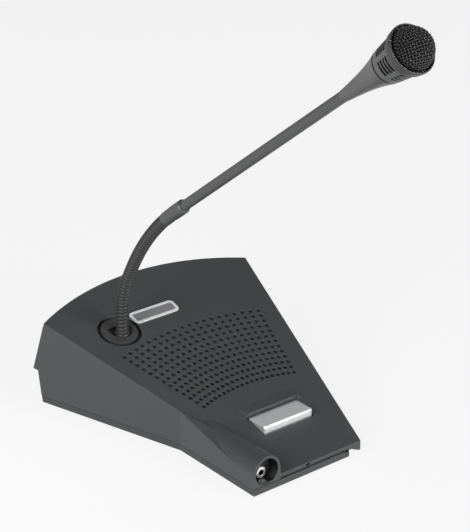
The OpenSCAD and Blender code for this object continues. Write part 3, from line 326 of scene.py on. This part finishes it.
def makeHandling():
    # slow changes of tone and gloss left by handling, and a little dust in small specks
    group, enter, leave = newGroup(
        "handling", [("Vector", "NodeSocketVector", None), ("Tone", "NodeSocketColor", (0.1, 0.1, 0.1, 1)),
                     ("Roughness", "NodeSocketFloat", 0.5), ("Spread", "NodeSocketFloat", 0.12),
                     ("Dust", "NodeSocketFloat", 0.1)],
        [("Color", "NodeSocketColor"), ("Roughness", "NodeSocketFloat")])
    link = group.links.new
    broad = addNode(group, "ShaderNodeTexNoise", {"Scale": 28.0, "Detail": 4.0, "Roughness": 0.55})
    specks = addNode(group, "ShaderNodeTexNoise", {"Scale": 900.0, "Detail": 2.0})
    few = addNode(group, "ShaderNodeMapRange", {"From Min": 0.66, "From Max": 0.8})
    centred = addNode(group, "ShaderNodeMath", {1: 0.5}, operation="SUBTRACT")
    shift = addNode(group, "ShaderNodeMath", operation="MULTIPLY")
    factor = addNode(group, "ShaderNodeMath", {1: 1.0}, operation="ADD")
    toned = addNode(group, "ShaderNodeVectorMath", operation="MULTIPLY")
    dusty = addNode(group, "ShaderNodeMath", operation="MULTIPLY")
    mix = addNode(group, "ShaderNodeMix", {7: (0.32, 0.31, 0.30, 1)}, data_type="RGBA")
    rough = addNode(group, "ShaderNodeMath", {1: 1.2}, operation="MULTIPLY_ADD")
    for node in (broad, specks):
        link(enter.outputs["Vector"], node.inputs["Vector"])
    link(broad.outputs[0], centred.inputs[0])
    link(centred.outputs[0], shift.inputs[0])
    link(enter.outputs["Spread"], shift.inputs[1])
    link(shift.outputs[0], factor.inputs[0])
    link(enter.outputs["Tone"], toned.inputs[0])
    link(factor.outputs[0], toned.inputs[1])
    link(specks.outputs[0], few.inputs["Value"])
    link(few.outputs[0], dusty.inputs[0])
    link(enter.outputs["Dust"], dusty.inputs[1])
    link(dusty.outputs[0], mix.inputs[0])
    link(toned.outputs[0], mix.inputs[6])
    link(mix.outputs[2], leave.inputs["Color"])
    link(shift.outputs[0], rough.inputs[0])
    link(enter.outputs["Roughness"], rough.inputs[2])
    link(rough.outputs[0], leave.inputs["Roughness"])
    return group


def makeBrushLines():
    # fine lines along x: noise stretched along the line
    group, enter, leave = newGroup(
        "brushLines", [("Vector", "NodeSocketVector", None), ("Across", "NodeSocketFloat", 5200.0),
                       ("Along", "NodeSocketFloat", 90.0)],
        [("Height", "NodeSocketFloat")])
    link = group.links.new
    stretch = addNode(group, "ShaderNodeCombineXYZ")
    scaled = addNode(group, "ShaderNodeVectorMath", operation="MULTIPLY")
    lines = addNode(group, "ShaderNodeTexNoise", {"Scale": 1.0, "Detail": 3.0, "Roughness": 0.6})
    link(enter.outputs["Along"], stretch.inputs[0])
    link(enter.outputs["Across"], stretch.inputs[1])
    link(enter.outputs["Across"], stretch.inputs[2])
    link(enter.outputs["Vector"], scaled.inputs[0])
    link(stretch.outputs[0], scaled.inputs[1])
    link(scaled.outputs[0], lines.inputs["Vector"])
    link(lines.outputs[0], leave.inputs["Height"])
    return group


def makeWeave():
    # plain weave: two crossed waves, each thread over the next
    group, enter, leave = newGroup(
        "plainWeave", [("Vector", "NodeSocketVector", None), ("Scale", "NodeSocketFloat", 900.0)],
        [("Height", "NodeSocketFloat")])
    link = group.links.new
    parts = []
    for way in ("X", "Y"):
        wave = addNode(group, "ShaderNodeTexWave", {"Distortion": 0.6, "Detail": 1.0}, bands_direction=way)
        link(enter.outputs["Vector"], wave.inputs["Vector"])
        link(enter.outputs["Scale"], wave.inputs["Scale"])
        parts.append(wave)
    both = addNode(group, "ShaderNodeMath", operation="MAXIMUM")
    link(parts[0].outputs["Fac"], both.inputs[0])
    link(parts[1].outputs["Fac"], both.inputs[1])
    link(both.outputs[0], leave.inputs["Height"])
    return group


def makeBoreShadeMask():
    # mask for painted shade: 1 inside a radius about a line along y through the centre and in front of the depth, 0
    # elsewhere
    group, enter, leave = newGroup(
        "boreShadeMask", [("Vector", "NodeSocketVector", None), ("Centre", "NodeSocketVector", (0, 0, 0)),
                     ("Radius", "NodeSocketFloat", 0.001), ("Depth", "NodeSocketFloat", 0.0)],
        [("Mask", "NodeSocketFloat")])
    link = group.links.new
    away = addNode(group, "ShaderNodeVectorMath", operation="SUBTRACT")
    flat = addNode(group, "ShaderNodeVectorMath", {1: (1, 0, 1)}, operation="MULTIPLY")
    length = addNode(group, "ShaderNodeVectorMath", operation="LENGTH")
    inside = addNode(group, "ShaderNodeMath", operation="LESS_THAN")
    parts = addNode(group, "ShaderNodeSeparateXYZ")
    ahead = addNode(group, "ShaderNodeMath", operation="LESS_THAN")
    both = addNode(group, "ShaderNodeMath", operation="MULTIPLY")
    link(enter.outputs["Vector"], away.inputs[0])
    link(enter.outputs["Centre"], away.inputs[1])
    link(away.outputs[0], flat.inputs[0])
    link(flat.outputs[0], length.inputs[0])
    link(length.outputs["Value"], inside.inputs[0])
    link(enter.outputs["Radius"], inside.inputs[1])
    link(enter.outputs["Vector"], parts.inputs[0])
    link(parts.outputs["Y"], ahead.inputs[0])
    link(enter.outputs["Depth"], ahead.inputs[1])
    link(inside.outputs[0], both.inputs[0])
    link(ahead.outputs[0], both.inputs[1])
    link(both.outputs[0], leave.inputs["Mask"])
    return group


groups = dict(mould=makeMouldGrain(), handling=makeHandling(), brush=makeBrushLines(), weave=makeWeave(),
              bore=makeBoreShadeMask())


def makeFinish(name, tone, rough, metal=0.0, specular=0.4, coat=0.0, grain="mould", grainScale=2600.0,
               relief=0.00003, spread=0.14, dust=0.06, edge=0.0005, edgeHighlight=0.35, hollow=None, bore=None):
    # tone, gloss and grain by groups; a rounded-edge normal shades the edges, and a painted highlight lightens their
    # colour into a light line
    paint = bpy.data.materials.new(name)
    paint.use_nodes = True
    tree = paint.node_tree
    tree.nodes.clear()
    link = tree.links.new
    out = tree.nodes.new("ShaderNodeOutputMaterial")
    shader = addNode(tree, "ShaderNodeBsdfPrincipled",
                     {"Metallic": metal, "Specular IOR Level": specular, "Coat Weight": coat,
                      "Coat Roughness": 0.25})
    place = tree.nodes.new("ShaderNodeTexCoord")
    wear = addNode(tree, "ShaderNodeGroup", {"Tone": tone + (1,), "Roughness": rough, "Spread": spread, "Dust": dust},
                   node_tree=groups["handling"])
    fine = addNode(tree, "ShaderNodeGroup", node_tree=groups[grain])
    if "Scale" in fine.inputs:
        fine.inputs["Scale"].default_value = grainScale
    bump = addNode(tree, "ShaderNodeBump", {"Strength": 1.0, "Distance": relief})
    link(place.outputs["Object"], wear.inputs["Vector"])
    link(place.outputs["Object"], fine.inputs["Vector"])
    link(fine.outputs["Height"], bump.inputs["Height"])
    colour = wear.outputs["Color"]
    if edge:
        soft = addNode(tree, "ShaderNodeBevel", {"Radius": edge}, samples=6)
        flat = tree.nodes.new("ShaderNodeNewGeometry")
        near = addNode(tree, "ShaderNodeVectorMath", operation="DOT_PRODUCT")
        # painted highlight: where the rounded-edge normal parts from the flat one, the colour is lightened towards a
        # lighter tone
        mask = addNode(tree, "ShaderNodeMapRange", {"From Min": 0.80, "From Max": 0.99, "To Min": 1.0, "To Max": 0.0})
        light = tuple(min(1.0, c * (1 + edgeHighlight) + 0.01 * edgeHighlight) for c in tone)
        lift = addNode(tree, "ShaderNodeMix", {7: light + (1,)}, data_type="RGBA")
        link(soft.outputs[0], near.inputs[0])
        link(flat.outputs["Normal"], near.inputs[1])
        link(near.outputs["Value"], mask.inputs["Value"])
        link(mask.outputs[0], lift.inputs[0])
        link(colour, lift.inputs[6])
        link(soft.outputs[0], bump.inputs["Normal"])
        colour = lift.outputs[2]
    if hollow:
        # painted shade: the named attribute marks where shade falls, such as the inside of slots and gaps, and there
        # the colour is painted dark
        marked = addNode(tree, "ShaderNodeAttribute", attribute_name=hollow)
        shadeMix = addNode(tree, "ShaderNodeMix", {7: tuple(c * 0.08 for c in tone) + (1,)}, data_type="RGBA")
        link(marked.outputs["Fac"], shadeMix.inputs[0])
        link(colour, shadeMix.inputs[6])
        colour = shadeMix.outputs[2]
    if bore:
        # painted shade: the inside of a bore (x, z, radius, depth in y) is painted near black, and its metal is taken
        # away there
        x, z, radius, depth = bore
        mask = addNode(tree, "ShaderNodeGroup", {"Centre": (x, 0, z), "Radius": radius, "Depth": depth},
                       node_tree=groups["bore"])
        shadeMix = addNode(tree, "ShaderNodeMix", {7: (0.006, 0.006, 0.006, 1)}, data_type="RGBA")
        link(place.outputs["Object"], mask.inputs["Vector"])
        link(mask.outputs["Mask"], shadeMix.inputs[0])
        link(colour, shadeMix.inputs[6])
        colour = shadeMix.outputs[2]
        if metal:
            metalOutsideShade = addNode(tree, "ShaderNodeMath", {0: metal}, operation="SUBTRACT", use_clamp=True)
            link(mask.outputs["Mask"], metalOutsideShade.inputs[1])
            link(metalOutsideShade.outputs[0], shader.inputs["Metallic"])
    link(colour, shader.inputs["Base Color"])
    link(wear.outputs["Roughness"], shader.inputs["Roughness"])
    link(bump.outputs[0], shader.inputs["Normal"])
    link(shader.outputs[0], out.inputs[0])
    return paint


# one line per finish: tone, roughness and what differs from moulded plastic
finishes = dict(
    # painted shade: the cavity in the pod's mouth, in front of its depth, is painted near black
    coverMould=makeFinish("coverMould", (0.052, 0.0545, 0.056), 0.46, specular=0.5, relief=0.00004,
                          bore=(-0.0415, 0.014, 0.00832, -0.0928)),
    baseMould=makeFinish("baseMould", (0.048, 0.050, 0.0515), 0.5, specular=0.45, relief=0.00004),
    headMould=makeFinish("headMould", (0.082, 0.083, 0.084), 0.40, specular=0.5, hollow="hollow"),
    # painted shade: a darker copy of the head's moulding, used on the rim's collar
    shadedLipMould=makeFinish("shadedLipMould", (0.034, 0.0345, 0.035), 0.42, specular=0.45, hollow="hollow"),
    collarMould=makeFinish("collarMould", (0.05, 0.05, 0.052), 0.4, specular=0.35),
    matRubber=makeFinish("matRubber", (0.022, 0.022, 0.022), 0.8, specular=0.2, grainScale=1200, relief=0.0001),
    cupRubber=makeFinish("cupRubber", (0.03, 0.03, 0.03), 0.75, specular=0.2, grainScale=1500),
    chipEpoxy=makeFinish("chipEpoxy", (0.02, 0.02, 0.022), 0.45, edge=0.0002),
    socketMould=makeFinish("socketMould", (0.03, 0.03, 0.032), 0.35, edge=0.0003),
    jackMould=makeFinish("jackMould", (0.02, 0.02, 0.022), 0.4, edge=0.0003),
    switchMould=makeFinish("switchMould", (0.03, 0.03, 0.033), 0.5, edge=0.0002),
    buttonRubber=makeFinish("buttonRubber", (0.4, 0.06, 0.05), 0.6, specular=0.25, edge=0.0002),
    keyLacquer=makeFinish("keyLacquer", (0.88, 0.89, 0.90), 0.32, metal=0.7, specular=0.5, grain="brush",
                          relief=0.000006, spread=0.06, dust=0.02, edge=0.0018, edgeHighlight=0.1),
    badgeFrame=makeFinish("badgeFrame", (0.95, 0.96, 0.96), 0.3, metal=0.12, grain="brush", relief=0.000004,
                          spread=0.05, dust=0.0, edge=0.0004, edgeHighlight=0.2),
    badgeField=makeFinish("badgeField", (0.30, 0.30, 0.31), 0.4, metal=0.3, grain="brush", relief=0.00001,
                          spread=0.1, dust=0.03, edge=0.0),
    # painted shade: the inside of the bush's bore is painted near black, with its metal taken away there
    bushPlate=makeFinish("bushPlate", (0.86, 0.86, 0.85), 0.22, metal=1.0, grain="brush", relief=0.000003,
                         spread=0.05, dust=0.0, edge=0.0003, edgeHighlight=0.1, bore=(-0.0415, 0.0112, 0.00182, 0.0)),
    plateSteel=makeFinish("plateSteel", (0.42, 0.42, 0.43), 0.42, metal=1.0, grain="brush", relief=0.000008),
    screwSteel=makeFinish("screwSteel", (0.5, 0.5, 0.5), 0.35, metal=1.0, grain="brush", relief=0.000005,
                          edge=0.0003),
    ferruleSteel=makeFinish("ferruleSteel", (0.16, 0.16, 0.165), 0.38, metal=0.9, grain="brush", relief=0.000004),
    neckLacquer=makeFinish("neckLacquer", (0.034, 0.0345, 0.035), 0.5, metal=0.1, specular=0.4, relief=0.00001,
                           edge=0.0, hollow="hollow"),
    sleeveAnodised=makeFinish("sleeveAnodised", (0.090, 0.091, 0.092), 0.40, metal=0.3, specular=0.4,
                              relief=0.000012),
    tubeLacquer=makeFinish("tubeLacquer", (0.078, 0.079, 0.080), 0.42, metal=0.15, specular=0.4, relief=0.000012),
    wireLacquer=makeFinish("wireLacquer", (0.026, 0.026, 0.0265), 0.36, metal=0.3, specular=0.5, relief=0.000004,
                           edge=0.0, hollow="hollow"),
    speakerSteel=makeFinish("speakerSteel", (0.2, 0.2, 0.21), 0.45, metal=0.8, grain="brush", relief=0.000005),
    magnetFerrite=makeFinish("magnetFerrite", (0.06, 0.06, 0.065), 0.7, grainScale=1800, relief=0.00005),
    capsuleCan=makeFinish("capsuleCan", (0.6, 0.6, 0.6), 0.35, metal=1.0, grain="brush", relief=0.000004),
    boardMask=makeFinish("boardMask", (0.03, 0.16, 0.07), 0.4, coat=0.3, grainScale=700, relief=0.00002, edge=0.0002),
    clothThread=makeFinish("clothThread", (0.004, 0.004, 0.004), 0.9, specular=0.1, grain="weave", grainScale=260,
                           relief=0.00012, edge=0.0),
    coneFibre=makeFinish("coneFibre", (0.02, 0.02, 0.02), 0.85, specular=0.15, grainScale=1400, relief=0.00008),
    foamCell=makeFinish("foamCell", (0.008, 0.008, 0.008), 0.95, specular=0.05, grainScale=900, relief=0.0004,
                        edge=0.0),
    contactGold=makeFinish("contactGold", (0.72, 0.5, 0.2), 0.25, metal=1.0, grain="brush", relief=0.000003,
                           edge=0.0),
)
slotFinish = dict(
    cover_plastic="coverMould", base_plastic="baseMould", grip_rubber="matRubber", ballast_steel="plateSteel",
    screw_steel="screwSteel", board_green="boardMask", chip_black="chipEpoxy", socket_black="socketMould",
    cloth_black="clothThread", speaker_steel="speakerSteel", cone_paper="coneFibre",
    magnet_ferrite="magnetFerrite", key_silver="keyLacquer", pin_steel="screwSteel", switch_black="switchMould",
    button_rubber="buttonRubber", badge_silver="badgeFrame", badge_grey="badgeField", bush_silver="bushPlate",
    jack_black="jackMould", collar_black="collarMould", ferrule_metal="ferruleSteel", nut_metal="screwSteel",
    neck_metal="neckLacquer", sleeve_metal="sleeveAnodised", tube_metal="tubeLacquer", head_plastic="headMould",
    mesh_metal="wireLacquer", foam_black="foamCell", capsule_metal="capsuleCan", cup_rubber="cupRubber")
for row in frame["record"]["subparts"]:
    for slot in nodes[row["node"]].material_slots:
        slot.material = finishes[slotFinish[row["material_slot"]]]
print("finishes set:", len(finishes))

# the key's edges are rounded off on the CAD node
keyEdge = dict(join=0.000002, width=0.0014, segments=5, sharpest=35)
weld = nodes["ptt_key"].modifiers.new("joinCorners", "WELD")
weld.merge_threshold = keyEdge["join"]
soften = nodes["ptt_key"].modifiers.new("softenEdges", "BEVEL")
soften.width, soften.segments = keyEdge["width"], keyEdge["segments"]
soften.limit_method, soften.angle_limit = "ANGLE", np.radians(keyEdge["sharpest"])
print("key softened")


# gooseneck: round wire wound into a tube, in two pieces that meet in the middle of the straight run between the two
# bends
def neckWinding(name, sFrom, sTo):
    # radius = crest - groove * (1 - half ellipse across one wire); the wire's phase follows length and turn
    rows = int((sTo - sFrom) / neck["pitch"] * neck["perTurn"])
    s = np.linspace(sFrom, sTo, rows)
    angle = np.linspace(0, 2 * np.pi, neck["sides"], endpoint=False)
    place, across = neckLine(s)
    phase = s[:, None] / neck["pitch"] - angle[None] / (2 * np.pi)
    fromWire = 2 * (phase - np.floor(phase)) - 1
    arch = np.sqrt(np.clip(1 - 0.985 * fromWire ** 2, 0, 1))
    outer = neck["crest"] - neck["groove"] * (1 - arch)
    ring = np.cos(angle)[None, :, None] * across[:, None] + np.sin(angle)[None, :, None] * aside
    points = np.concatenate([place[:, None] + outer[..., None] * ring,
                             (place[:, None] + neck["bore"] * ring)[::-neck["boreStep"]]])
    # painted shade: the grooves between the wires and the bore inside are painted dark
    hollow = np.concatenate([np.clip((0.55 - arch) / 0.5, 0, 1), np.ones((points.shape[0] - rows, neck["sides"]))])
    faces = gridFaces(points.shape[0], neck["sides"], True, True)
    return putMesh(name, points * mm, [faces], finishes["neckLacquer"], 70, {"hollow": hollow})


# smooth cuff over the last ribs, below the sleeve
cuff = dict(begin=105.6, end=115.25, outer=4.12, inner=3.92, lip=0.5)


def makeNeckCuff():
    # thin tube along the neck's line; the lower lip is a quarter ellipse
    s = cuff["begin"] + (cuff["end"] - cuff["begin"]) * np.linspace(0, 1, 40) ** 1.6
    angle = np.linspace(0, 2 * np.pi, neck["sides"], endpoint=False)
    place, across = neckLine(s)
    inLip = np.clip(1 - (s - cuff["begin"]) / cuff["lip"], 0, 1)
    outer = cuff["inner"] + (cuff["outer"] - cuff["inner"]) * np.sqrt(1 - 0.99 * inLip ** 2)
    ring = np.cos(angle)[None, :, None] * across[:, None] + np.sin(angle)[None, :, None] * aside
    points = np.concatenate([place[:, None] + outer[:, None, None] * ring,
                             (place[:, None] + cuff["inner"] * ring)[::-1] - 0.001 * ring[::-1]])
    return putMesh("neckCuff", points * mm, [gridFaces(len(points), neck["sides"], True, True)],
                   finishes["sleeveAnodised"], 50)


neckHalf = neckMarks[2] + neck["parts"][2][0] / 2
lowerWinding = neckWinding("lowerWinding", neck["begin"], neckHalf)
upperWinding = neckWinding("upperWinding", neckHalf, neckMarks[4])
for piece, node, bodies, marks in ((lowerWinding, "gooseneck_lower", ("base", "neck_mid"), (1, 2)),
                                   (upperWinding, "gooseneck_upper", ("neck_mid", "stem"), (3, 4))):
    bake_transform(piece)
    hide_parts(node)
neckCuff = makeNeckCuff()
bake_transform(neckCuff)
print("gooseneck wound")

# microphone head along the stem: heights from the head's start
head = dict(start=170.6, tubeR=3.1, grooveR=9.4, grooveW=0.9, ventR=11.7, rimR=13.2, cone=37.4, barrel=14.4,
            rim=5.7, wall=1.5, lip=1.0, domeH=10.8, domeGap=1.6, ledge=1.6, spigot=3.0, turns=128, tailTurns=96)
vents = dict(groups=6, slits=4, width=1.5, phase=-17.0, halfAngle=22.5, depth=1.1, margin=0.18, ramp=0.2, endRamp=1.6,
             firstGap=1.2, endGap=3.4, turns=384, rows=128)
barrelZ = head["cone"] + head["grooveW"]
rimZ = barrelZ + head["barrel"]
rimTop = rimZ + head["rim"]
ledgeZ = rimTop - head["ledge"]


def smoothCurve(knots, count):
    # Catmull-Rom curve through the knots, evenly sampled between them
    k = np.asarray(knots, float)
    ends = np.vstack([2 * k[0] - k[1], k, 2 * k[-1] - k[-2]])
    t = np.linspace(0, len(k) - 1, count)
    i = np.minimum(t.astype(int), len(k) - 2)
    f = (t - i)[:, None]
    a, b, c, d = (ends[i + n] for n in range(4))
    return 0.5 * (2 * b + (c - a) * f + (2 * a - 5 * b + 4 * c - d) * f ** 2 + (3 * b - a - 3 * c + d) * f ** 3)


def makeHeadCone():
    # flared tail: a smooth curve from the tube to the groove, then the neck of the groove and back inside
    tubeR, grooveR, cone = head["tubeR"], head["grooveR"], head["cone"]
    share = [(0.03, 0.0), (0.11, 0.139), (0.235, 0.33), (0.41, 0.55), (0.68, 0.79), (0.99, 0.997)]
    outer = smoothCurve([(tubeR + a * (grooveR - tubeR), b * cone) for a, b in share], 70)
    floorR = grooveR - head["grooveW"]
    edge = [(grooveR - 0.14, cone), (floorR, cone), (floorR, barrelZ + head["spigot"]),
            (floorR - head["wall"], barrelZ + head["spigot"]), (floorR - head["wall"], cone), (tubeR + 0.1, 12.0),
            (tubeR + 0.1, 0.0)]
    profile = np.vstack([outer, edge])
    # painted shade: the groove's floor and everything inside it are painted dark
    hollow = np.zeros((len(profile), head["tailTurns"]))
    hollow[len(outer) + 1:] = 1
    piece = spun("headTail", profile, finishes["headMould"], head["start"], head["tailTurns"], extra={"hollow": hollow})
    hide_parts("head_cone")
    return piece


def makeHeadBarrel():
    # radius = cone line - slit depth inside the slits; a slit runs round for most of its group's share
    turns = vents["turns"]
    z = np.linspace(0, head["barrel"], vents["rows"])
    angle = np.linspace(0, 2 * np.pi, turns, endpoint=False)
    r0, r1 = head["grooveR"] + 0.2, head["ventR"]
    line = r0 + (r1 - r0) * z / head["barrel"]
    line = line - 0.35 * np.exp(-z / 0.35) - 0.2 * np.exp((z - head["barrel"]) / 0.3)
    share = 2 * np.pi / vents["groups"]
    fromMid = np.abs((angle - np.radians(vents["phase"]) + share / 2) % share - share / 2)
    slitStep = (head["barrel"] - vents["endGap"]) / (vents["slits"] + 0.5)
    slitMid = head["spigot"] + vents["firstGap"] + vents["width"] / 2 + np.arange(vents["slits"]) * slitStep
    fromSlit = np.abs(z[:, None] - slitMid[None]).min(1)
    lengthways = np.clip((np.radians(vents["halfAngle"]) - fromMid) / np.radians(vents["endRamp"]), 0, 1)
    crossways = np.clip((vents["width"] / 2 + vents["margin"] - fromSlit) / vents["ramp"], 0, 1)
    slit = crossways[:, None] * lengthways[None]
    radius = line[:, None] - vents["depth"] * slit
    ring = np.cos(angle)[:, None] * stemSide + np.sin(angle)[:, None] * aside
    outer = stemStart + (head["start"] + barrelZ + z)[:, None, None] * stemAxis + radius[..., None] * ring[None]
    boreR = head["grooveR"] - head["grooveW"] + 0.05
    innerZ = np.array([head["barrel"], head["spigot"] + 1.5, 0.0])
    innerR = np.array([head["ventR"] - head["wall"], boreR, boreR])
    inner = (stemStart + (head["start"] + barrelZ + innerZ)[:, None, None] * stemAxis
             + innerR[:, None, None] * ring[None])
    points = np.concatenate([outer, inner])
    # painted shade: the slits, with their sloped sides, and the inside are painted dark
    hollow = np.concatenate([np.clip(slit * 3, 0, 1), np.ones((3, turns))])
    piece = putMesh("headBarrel", points * mm, [gridFaces(len(points), turns, True, True)], finishes["headMould"], 50,
                    {"hollow": hollow})
    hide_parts("head_barrel")
    return piece


def makeHeadRim():
    # collar that flares to the lip, with a rounded lip and a ledge inside, which is painted dark as shade
    r, vent = head["rimR"], head["ventR"]
    bore = vent - head["wall"]
    corners = [(bore, rimZ), (vent + 0.4, rimZ), (vent + 0.8, rimZ + 0.8), (r, rimTop - 0.9), (r - 0.25, rimTop),
               (r - head["lip"], rimTop), (r - head["lip"], ledgeZ), (bore, ledgeZ)]
    profile = roundCorners(corners, [0.1, 0.25, 0.5, 0.8, 0.3, 0.25, 0.05, 0.05], 6)
    # painted shade: the inside of the lip and the ledge are painted dark
    inside = (profile[:, 0] < r - 0.9) & (profile[:, 1] > rimZ + 1.0)
    hollow = np.repeat(inside[:, None], head["turns"], 1).astype(float)
    piece = spun("headCollar", profile, finishes["shadedLipMould"], head["start"], head["turns"], 50, {"hollow": hollow})
    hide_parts("head_rim")
    return piece


for piece in (makeHeadCone(), makeHeadBarrel(), makeHeadRim()):
    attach(piece, "stem")
print("head shells made")

# mesh dome: two sets of wires laid over the dome, each over one and under the next, with painted shade darkening them
# near the rim
dome = dict(wire=0.34, lift=0.27, pitch=1.7, samples=130, sides=7, foamGap=0.3, wider=0.75, lower=0.45, dark=3.2)
domeBase = head["rimR"] - head["lip"] - head["domeGap"] + dome["wider"]
domeRise = head["domeH"] + head["ledge"] - dome["lower"]
domeR = (domeBase ** 2 + domeRise ** 2) / (2 * domeRise)
domeMid = stemStart + (head["start"] + ledgeZ + domeRise - domeR) * stemAxis


def onDome(u, v, radius):
    # flat disc (u, v) laid over the dome: distance from the middle becomes the arc from the pole
    away = np.maximum(np.hypot(u, v), 1e-9)
    polar = away / domeR
    flat = (u / away)[..., None] * stemSide + (v / away)[..., None] * aside
    out = np.sin(polar)[..., None] * flat + np.cos(polar)[..., None] * stemAxis
    return domeMid + radius[..., None] * out, out


def makeMeshDome():
    # wire k at u = k * pitch; its height waves by plus or minus lift, the crossing set by the opposite sign
    reach = domeR * (np.pi / 2 + np.arcsin((domeRise - domeR) / domeR)) - 0.1
    count = int(reach / dome["pitch"])
    k = np.arange(-count, count + 1)
    u = (k * dome["pitch"])[:, None]
    half = np.sqrt(np.maximum(reach ** 2 - u ** 2, 0.01))
    v = np.linspace(-1, 1, dome["samples"])[None] * half
    u = np.broadcast_to(u, v.shape)
    wave = np.cos(np.pi * v / dome["pitch"]) * np.where(k % 2 == 0, 1, -1)[:, None]
    middle = domeR - dome["wire"] - dome["lift"] - 0.02
    points, shaded, faces, offset = [], [], [], 0
    for sign in (1, -1):
        a, b = (u, v) if sign > 0 else (v, u)
        line, out = onDome(a, b, middle + sign * dome["lift"] * wave)
        along = np.gradient(line, axis=1)
        along /= np.linalg.norm(along, axis=2, keepdims=True)
        sideways = np.cross(along, out)
        sideways /= np.linalg.norm(sideways, axis=2, keepdims=True)
        bars, sets = barSet(line, np.cross(sideways, along), sideways, dome["wire"], dome["sides"])
        points.append(bars)
        # painted shade: the wires are painted darker towards the rim
        rimShade = np.clip((np.hypot(u, v) - reach + dome["dark"]) / dome["dark"], 0, 1)
        shaded.append(np.repeat(rimShade.ravel(), dome["sides"]))
        faces += [f + offset for f in sets]
        offset += len(bars)
    piece = putMesh("meshDome", np.concatenate(points) * mm, faces, finishes["wireLacquer"], 80,
                    {"hollow": np.concatenate(shaded)})
    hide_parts("head_mesh")
    return piece


def makeFoamDome():
    # foam that fills the dome: a short plug with a spherical cap
    r = domeR - 2 * (dome["wire"] + dome["lift"]) - dome["foamGap"]
    polar = np.linspace(np.arccos(-(domeRise - domeR - 0.2) / r), 0, 40)
    cap = np.stack([r * np.sin(polar), ledgeZ + domeRise - domeR + r * np.cos(polar)], 1)
    plugR = head["ventR"] - head["wall"] - 0.3
    plug = np.array([(0, ledgeZ - 1.0), (plugR - 0.3, ledgeZ - 1.0), (plugR, ledgeZ - 0.7), (plugR, ledgeZ + 0.1)])
    piece = spunSolid("foamFill", np.vstack([plug, cap]), finishes["foamCell"], head["start"], 96, 60)
    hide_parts("wind_foam")
    return piece


for piece in (makeMeshDome(), makeFoamDome()):
    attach(piece, "stem")
print("dome woven")

# gold contacts in the two network sockets: flat springs bent back from the rear
contacts = dict(count=8, pitch=1.02, wire=0.22, x=13.0, backY=76.0, frontY=86.5, lowZ=14.3, highZ=18.4, baseZ=13.1)


def makeContacts(name, side):
    # each contact runs in along the floor and bends back up and over; a round bar follows that line
    c = contacts
    line = smoothCurve([(c["frontY"], c["baseZ"] + 0.2), (c["frontY"] - 1.2, c["baseZ"] + 0.5),
                        (c["frontY"] - 3.2, c["lowZ"] + 0.6), (c["backY"] + 2, c["highZ"]),
                        (c["backY"], c["highZ"] + 0.6)], 28)
    offsets = (np.arange(c["count"]) - (c["count"] - 1) / 2) * c["pitch"] + side * c["x"]
    flat = np.stack([np.broadcast_to(offsets[:, None], (c["count"], len(line))),
                     np.broadcast_to(line[:, 0], (c["count"], len(line))),
                     np.broadcast_to(line[:, 1], (c["count"], len(line)))], -1)
    along = np.gradient(flat, axis=1)
    along /= np.linalg.norm(along, axis=2, keepdims=True)
    sideways = np.broadcast_to(np.array([1.0, 0, 0]), flat.shape)
    points, faces = barSet(flat, np.cross(sideways, along), sideways, c["wire"], 8)
    piece = putMesh(name, points * mm, faces, finishes["contactGold"], 60)
    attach(piece, "base")


makeContacts("contactsLeft", -1)
makeContacts("contactsRight", 1)
print("contacts made")

# under the key: a leaf spring from the switch board to the key's front, and the switch's soft button
underKey = dict(springX=(8.0, 12.0), boardZ=7.8, footY=-63.9438, keyY=-68.7438, springTop=19.4, leaf=0.4,
                buttonX=1.0, buttonR=1.7, buttonLow=10.2, buttonTop=13.0, springKeep=0.88, buttonKeep=0.6)


def makeLeafSpring():
    # bent line in the y, z plane, made thick along its normal and drawn across in x, with rounded long edges
    u = underKey
    t = u["leaf"] / 2
    line = smoothCurve([(u["footY"] + 4, u["boardZ"] + t), (u["footY"] + 2, u["boardZ"] + t),
                        (u["footY"] + 0.2, u["boardZ"] + t + 0.15), (u["footY"] - 0.6, u["boardZ"] + 2.2),
                        (u["keyY"] + 3.4, u["springTop"] - 3.0), (u["keyY"] + 2.9, u["springTop"] - 0.5),
                        (u["keyY"] + 2.8, u["springTop"] - 0.02)], 60)
    along = np.gradient(line, axis=0)
    along /= np.linalg.norm(along, axis=1, keepdims=True)
    normal = np.stack([-along[:, 1], along[:, 0]], 1)
    x0, x1 = u["springX"]
    section = roundCorners([(x0, -t), (x1, -t), (x1, t), (x0, t)], 0.15, 4)[::-1]
    sides = len(section)
    yz = line[:, None] + section[None, :, 1:2] * normal[:, None]
    points = np.concatenate([np.broadcast_to(section[None, :, :1], (len(line), sides, 1)), yz], 2).reshape(-1, 3)
    end = len(points) - sides
    faces = [gridFaces(len(line), sides, False, True), np.arange(sides)[None, ::-1], end + np.arange(sides)[None]]
    piece = putMesh("leafSpring", points * mm, faces, finishes["screwSteel"], 40)
    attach(piece, "base")
    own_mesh(piece)
    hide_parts("key_spring")


def makeSoftButton():
    # round button with a low crown and a small foot flange
    u = underKey
    tall, r = u["buttonTop"] - u["buttonLow"], u["buttonR"]
    ring = roundCorners([(0, 0), (r, 0), (r, 0.5), (r - 0.25, 0.7), (r - 0.3, tall - 0.35), (r - 0.6, tall - 0.02),
                         (0, tall)], [0, 0.1, 0.15, 0.2, 0.3, 0.4, 0], 5)
    foot = np.array([u["buttonX"], u["footY"], u["buttonLow"]])
    frameOf = (foot, np.array([1.0, 0, 0]), np.array([0, 1.0, 0]), upward)
    piece = spunSolid("softButton", ring, finishes["buttonRubber"], 0, 40, 50, frameOf)
    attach(piece, "base")
    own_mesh(piece)
    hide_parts("switch_button")


makeLeafSpring()
makeSoftButton()
print("spring and button made")
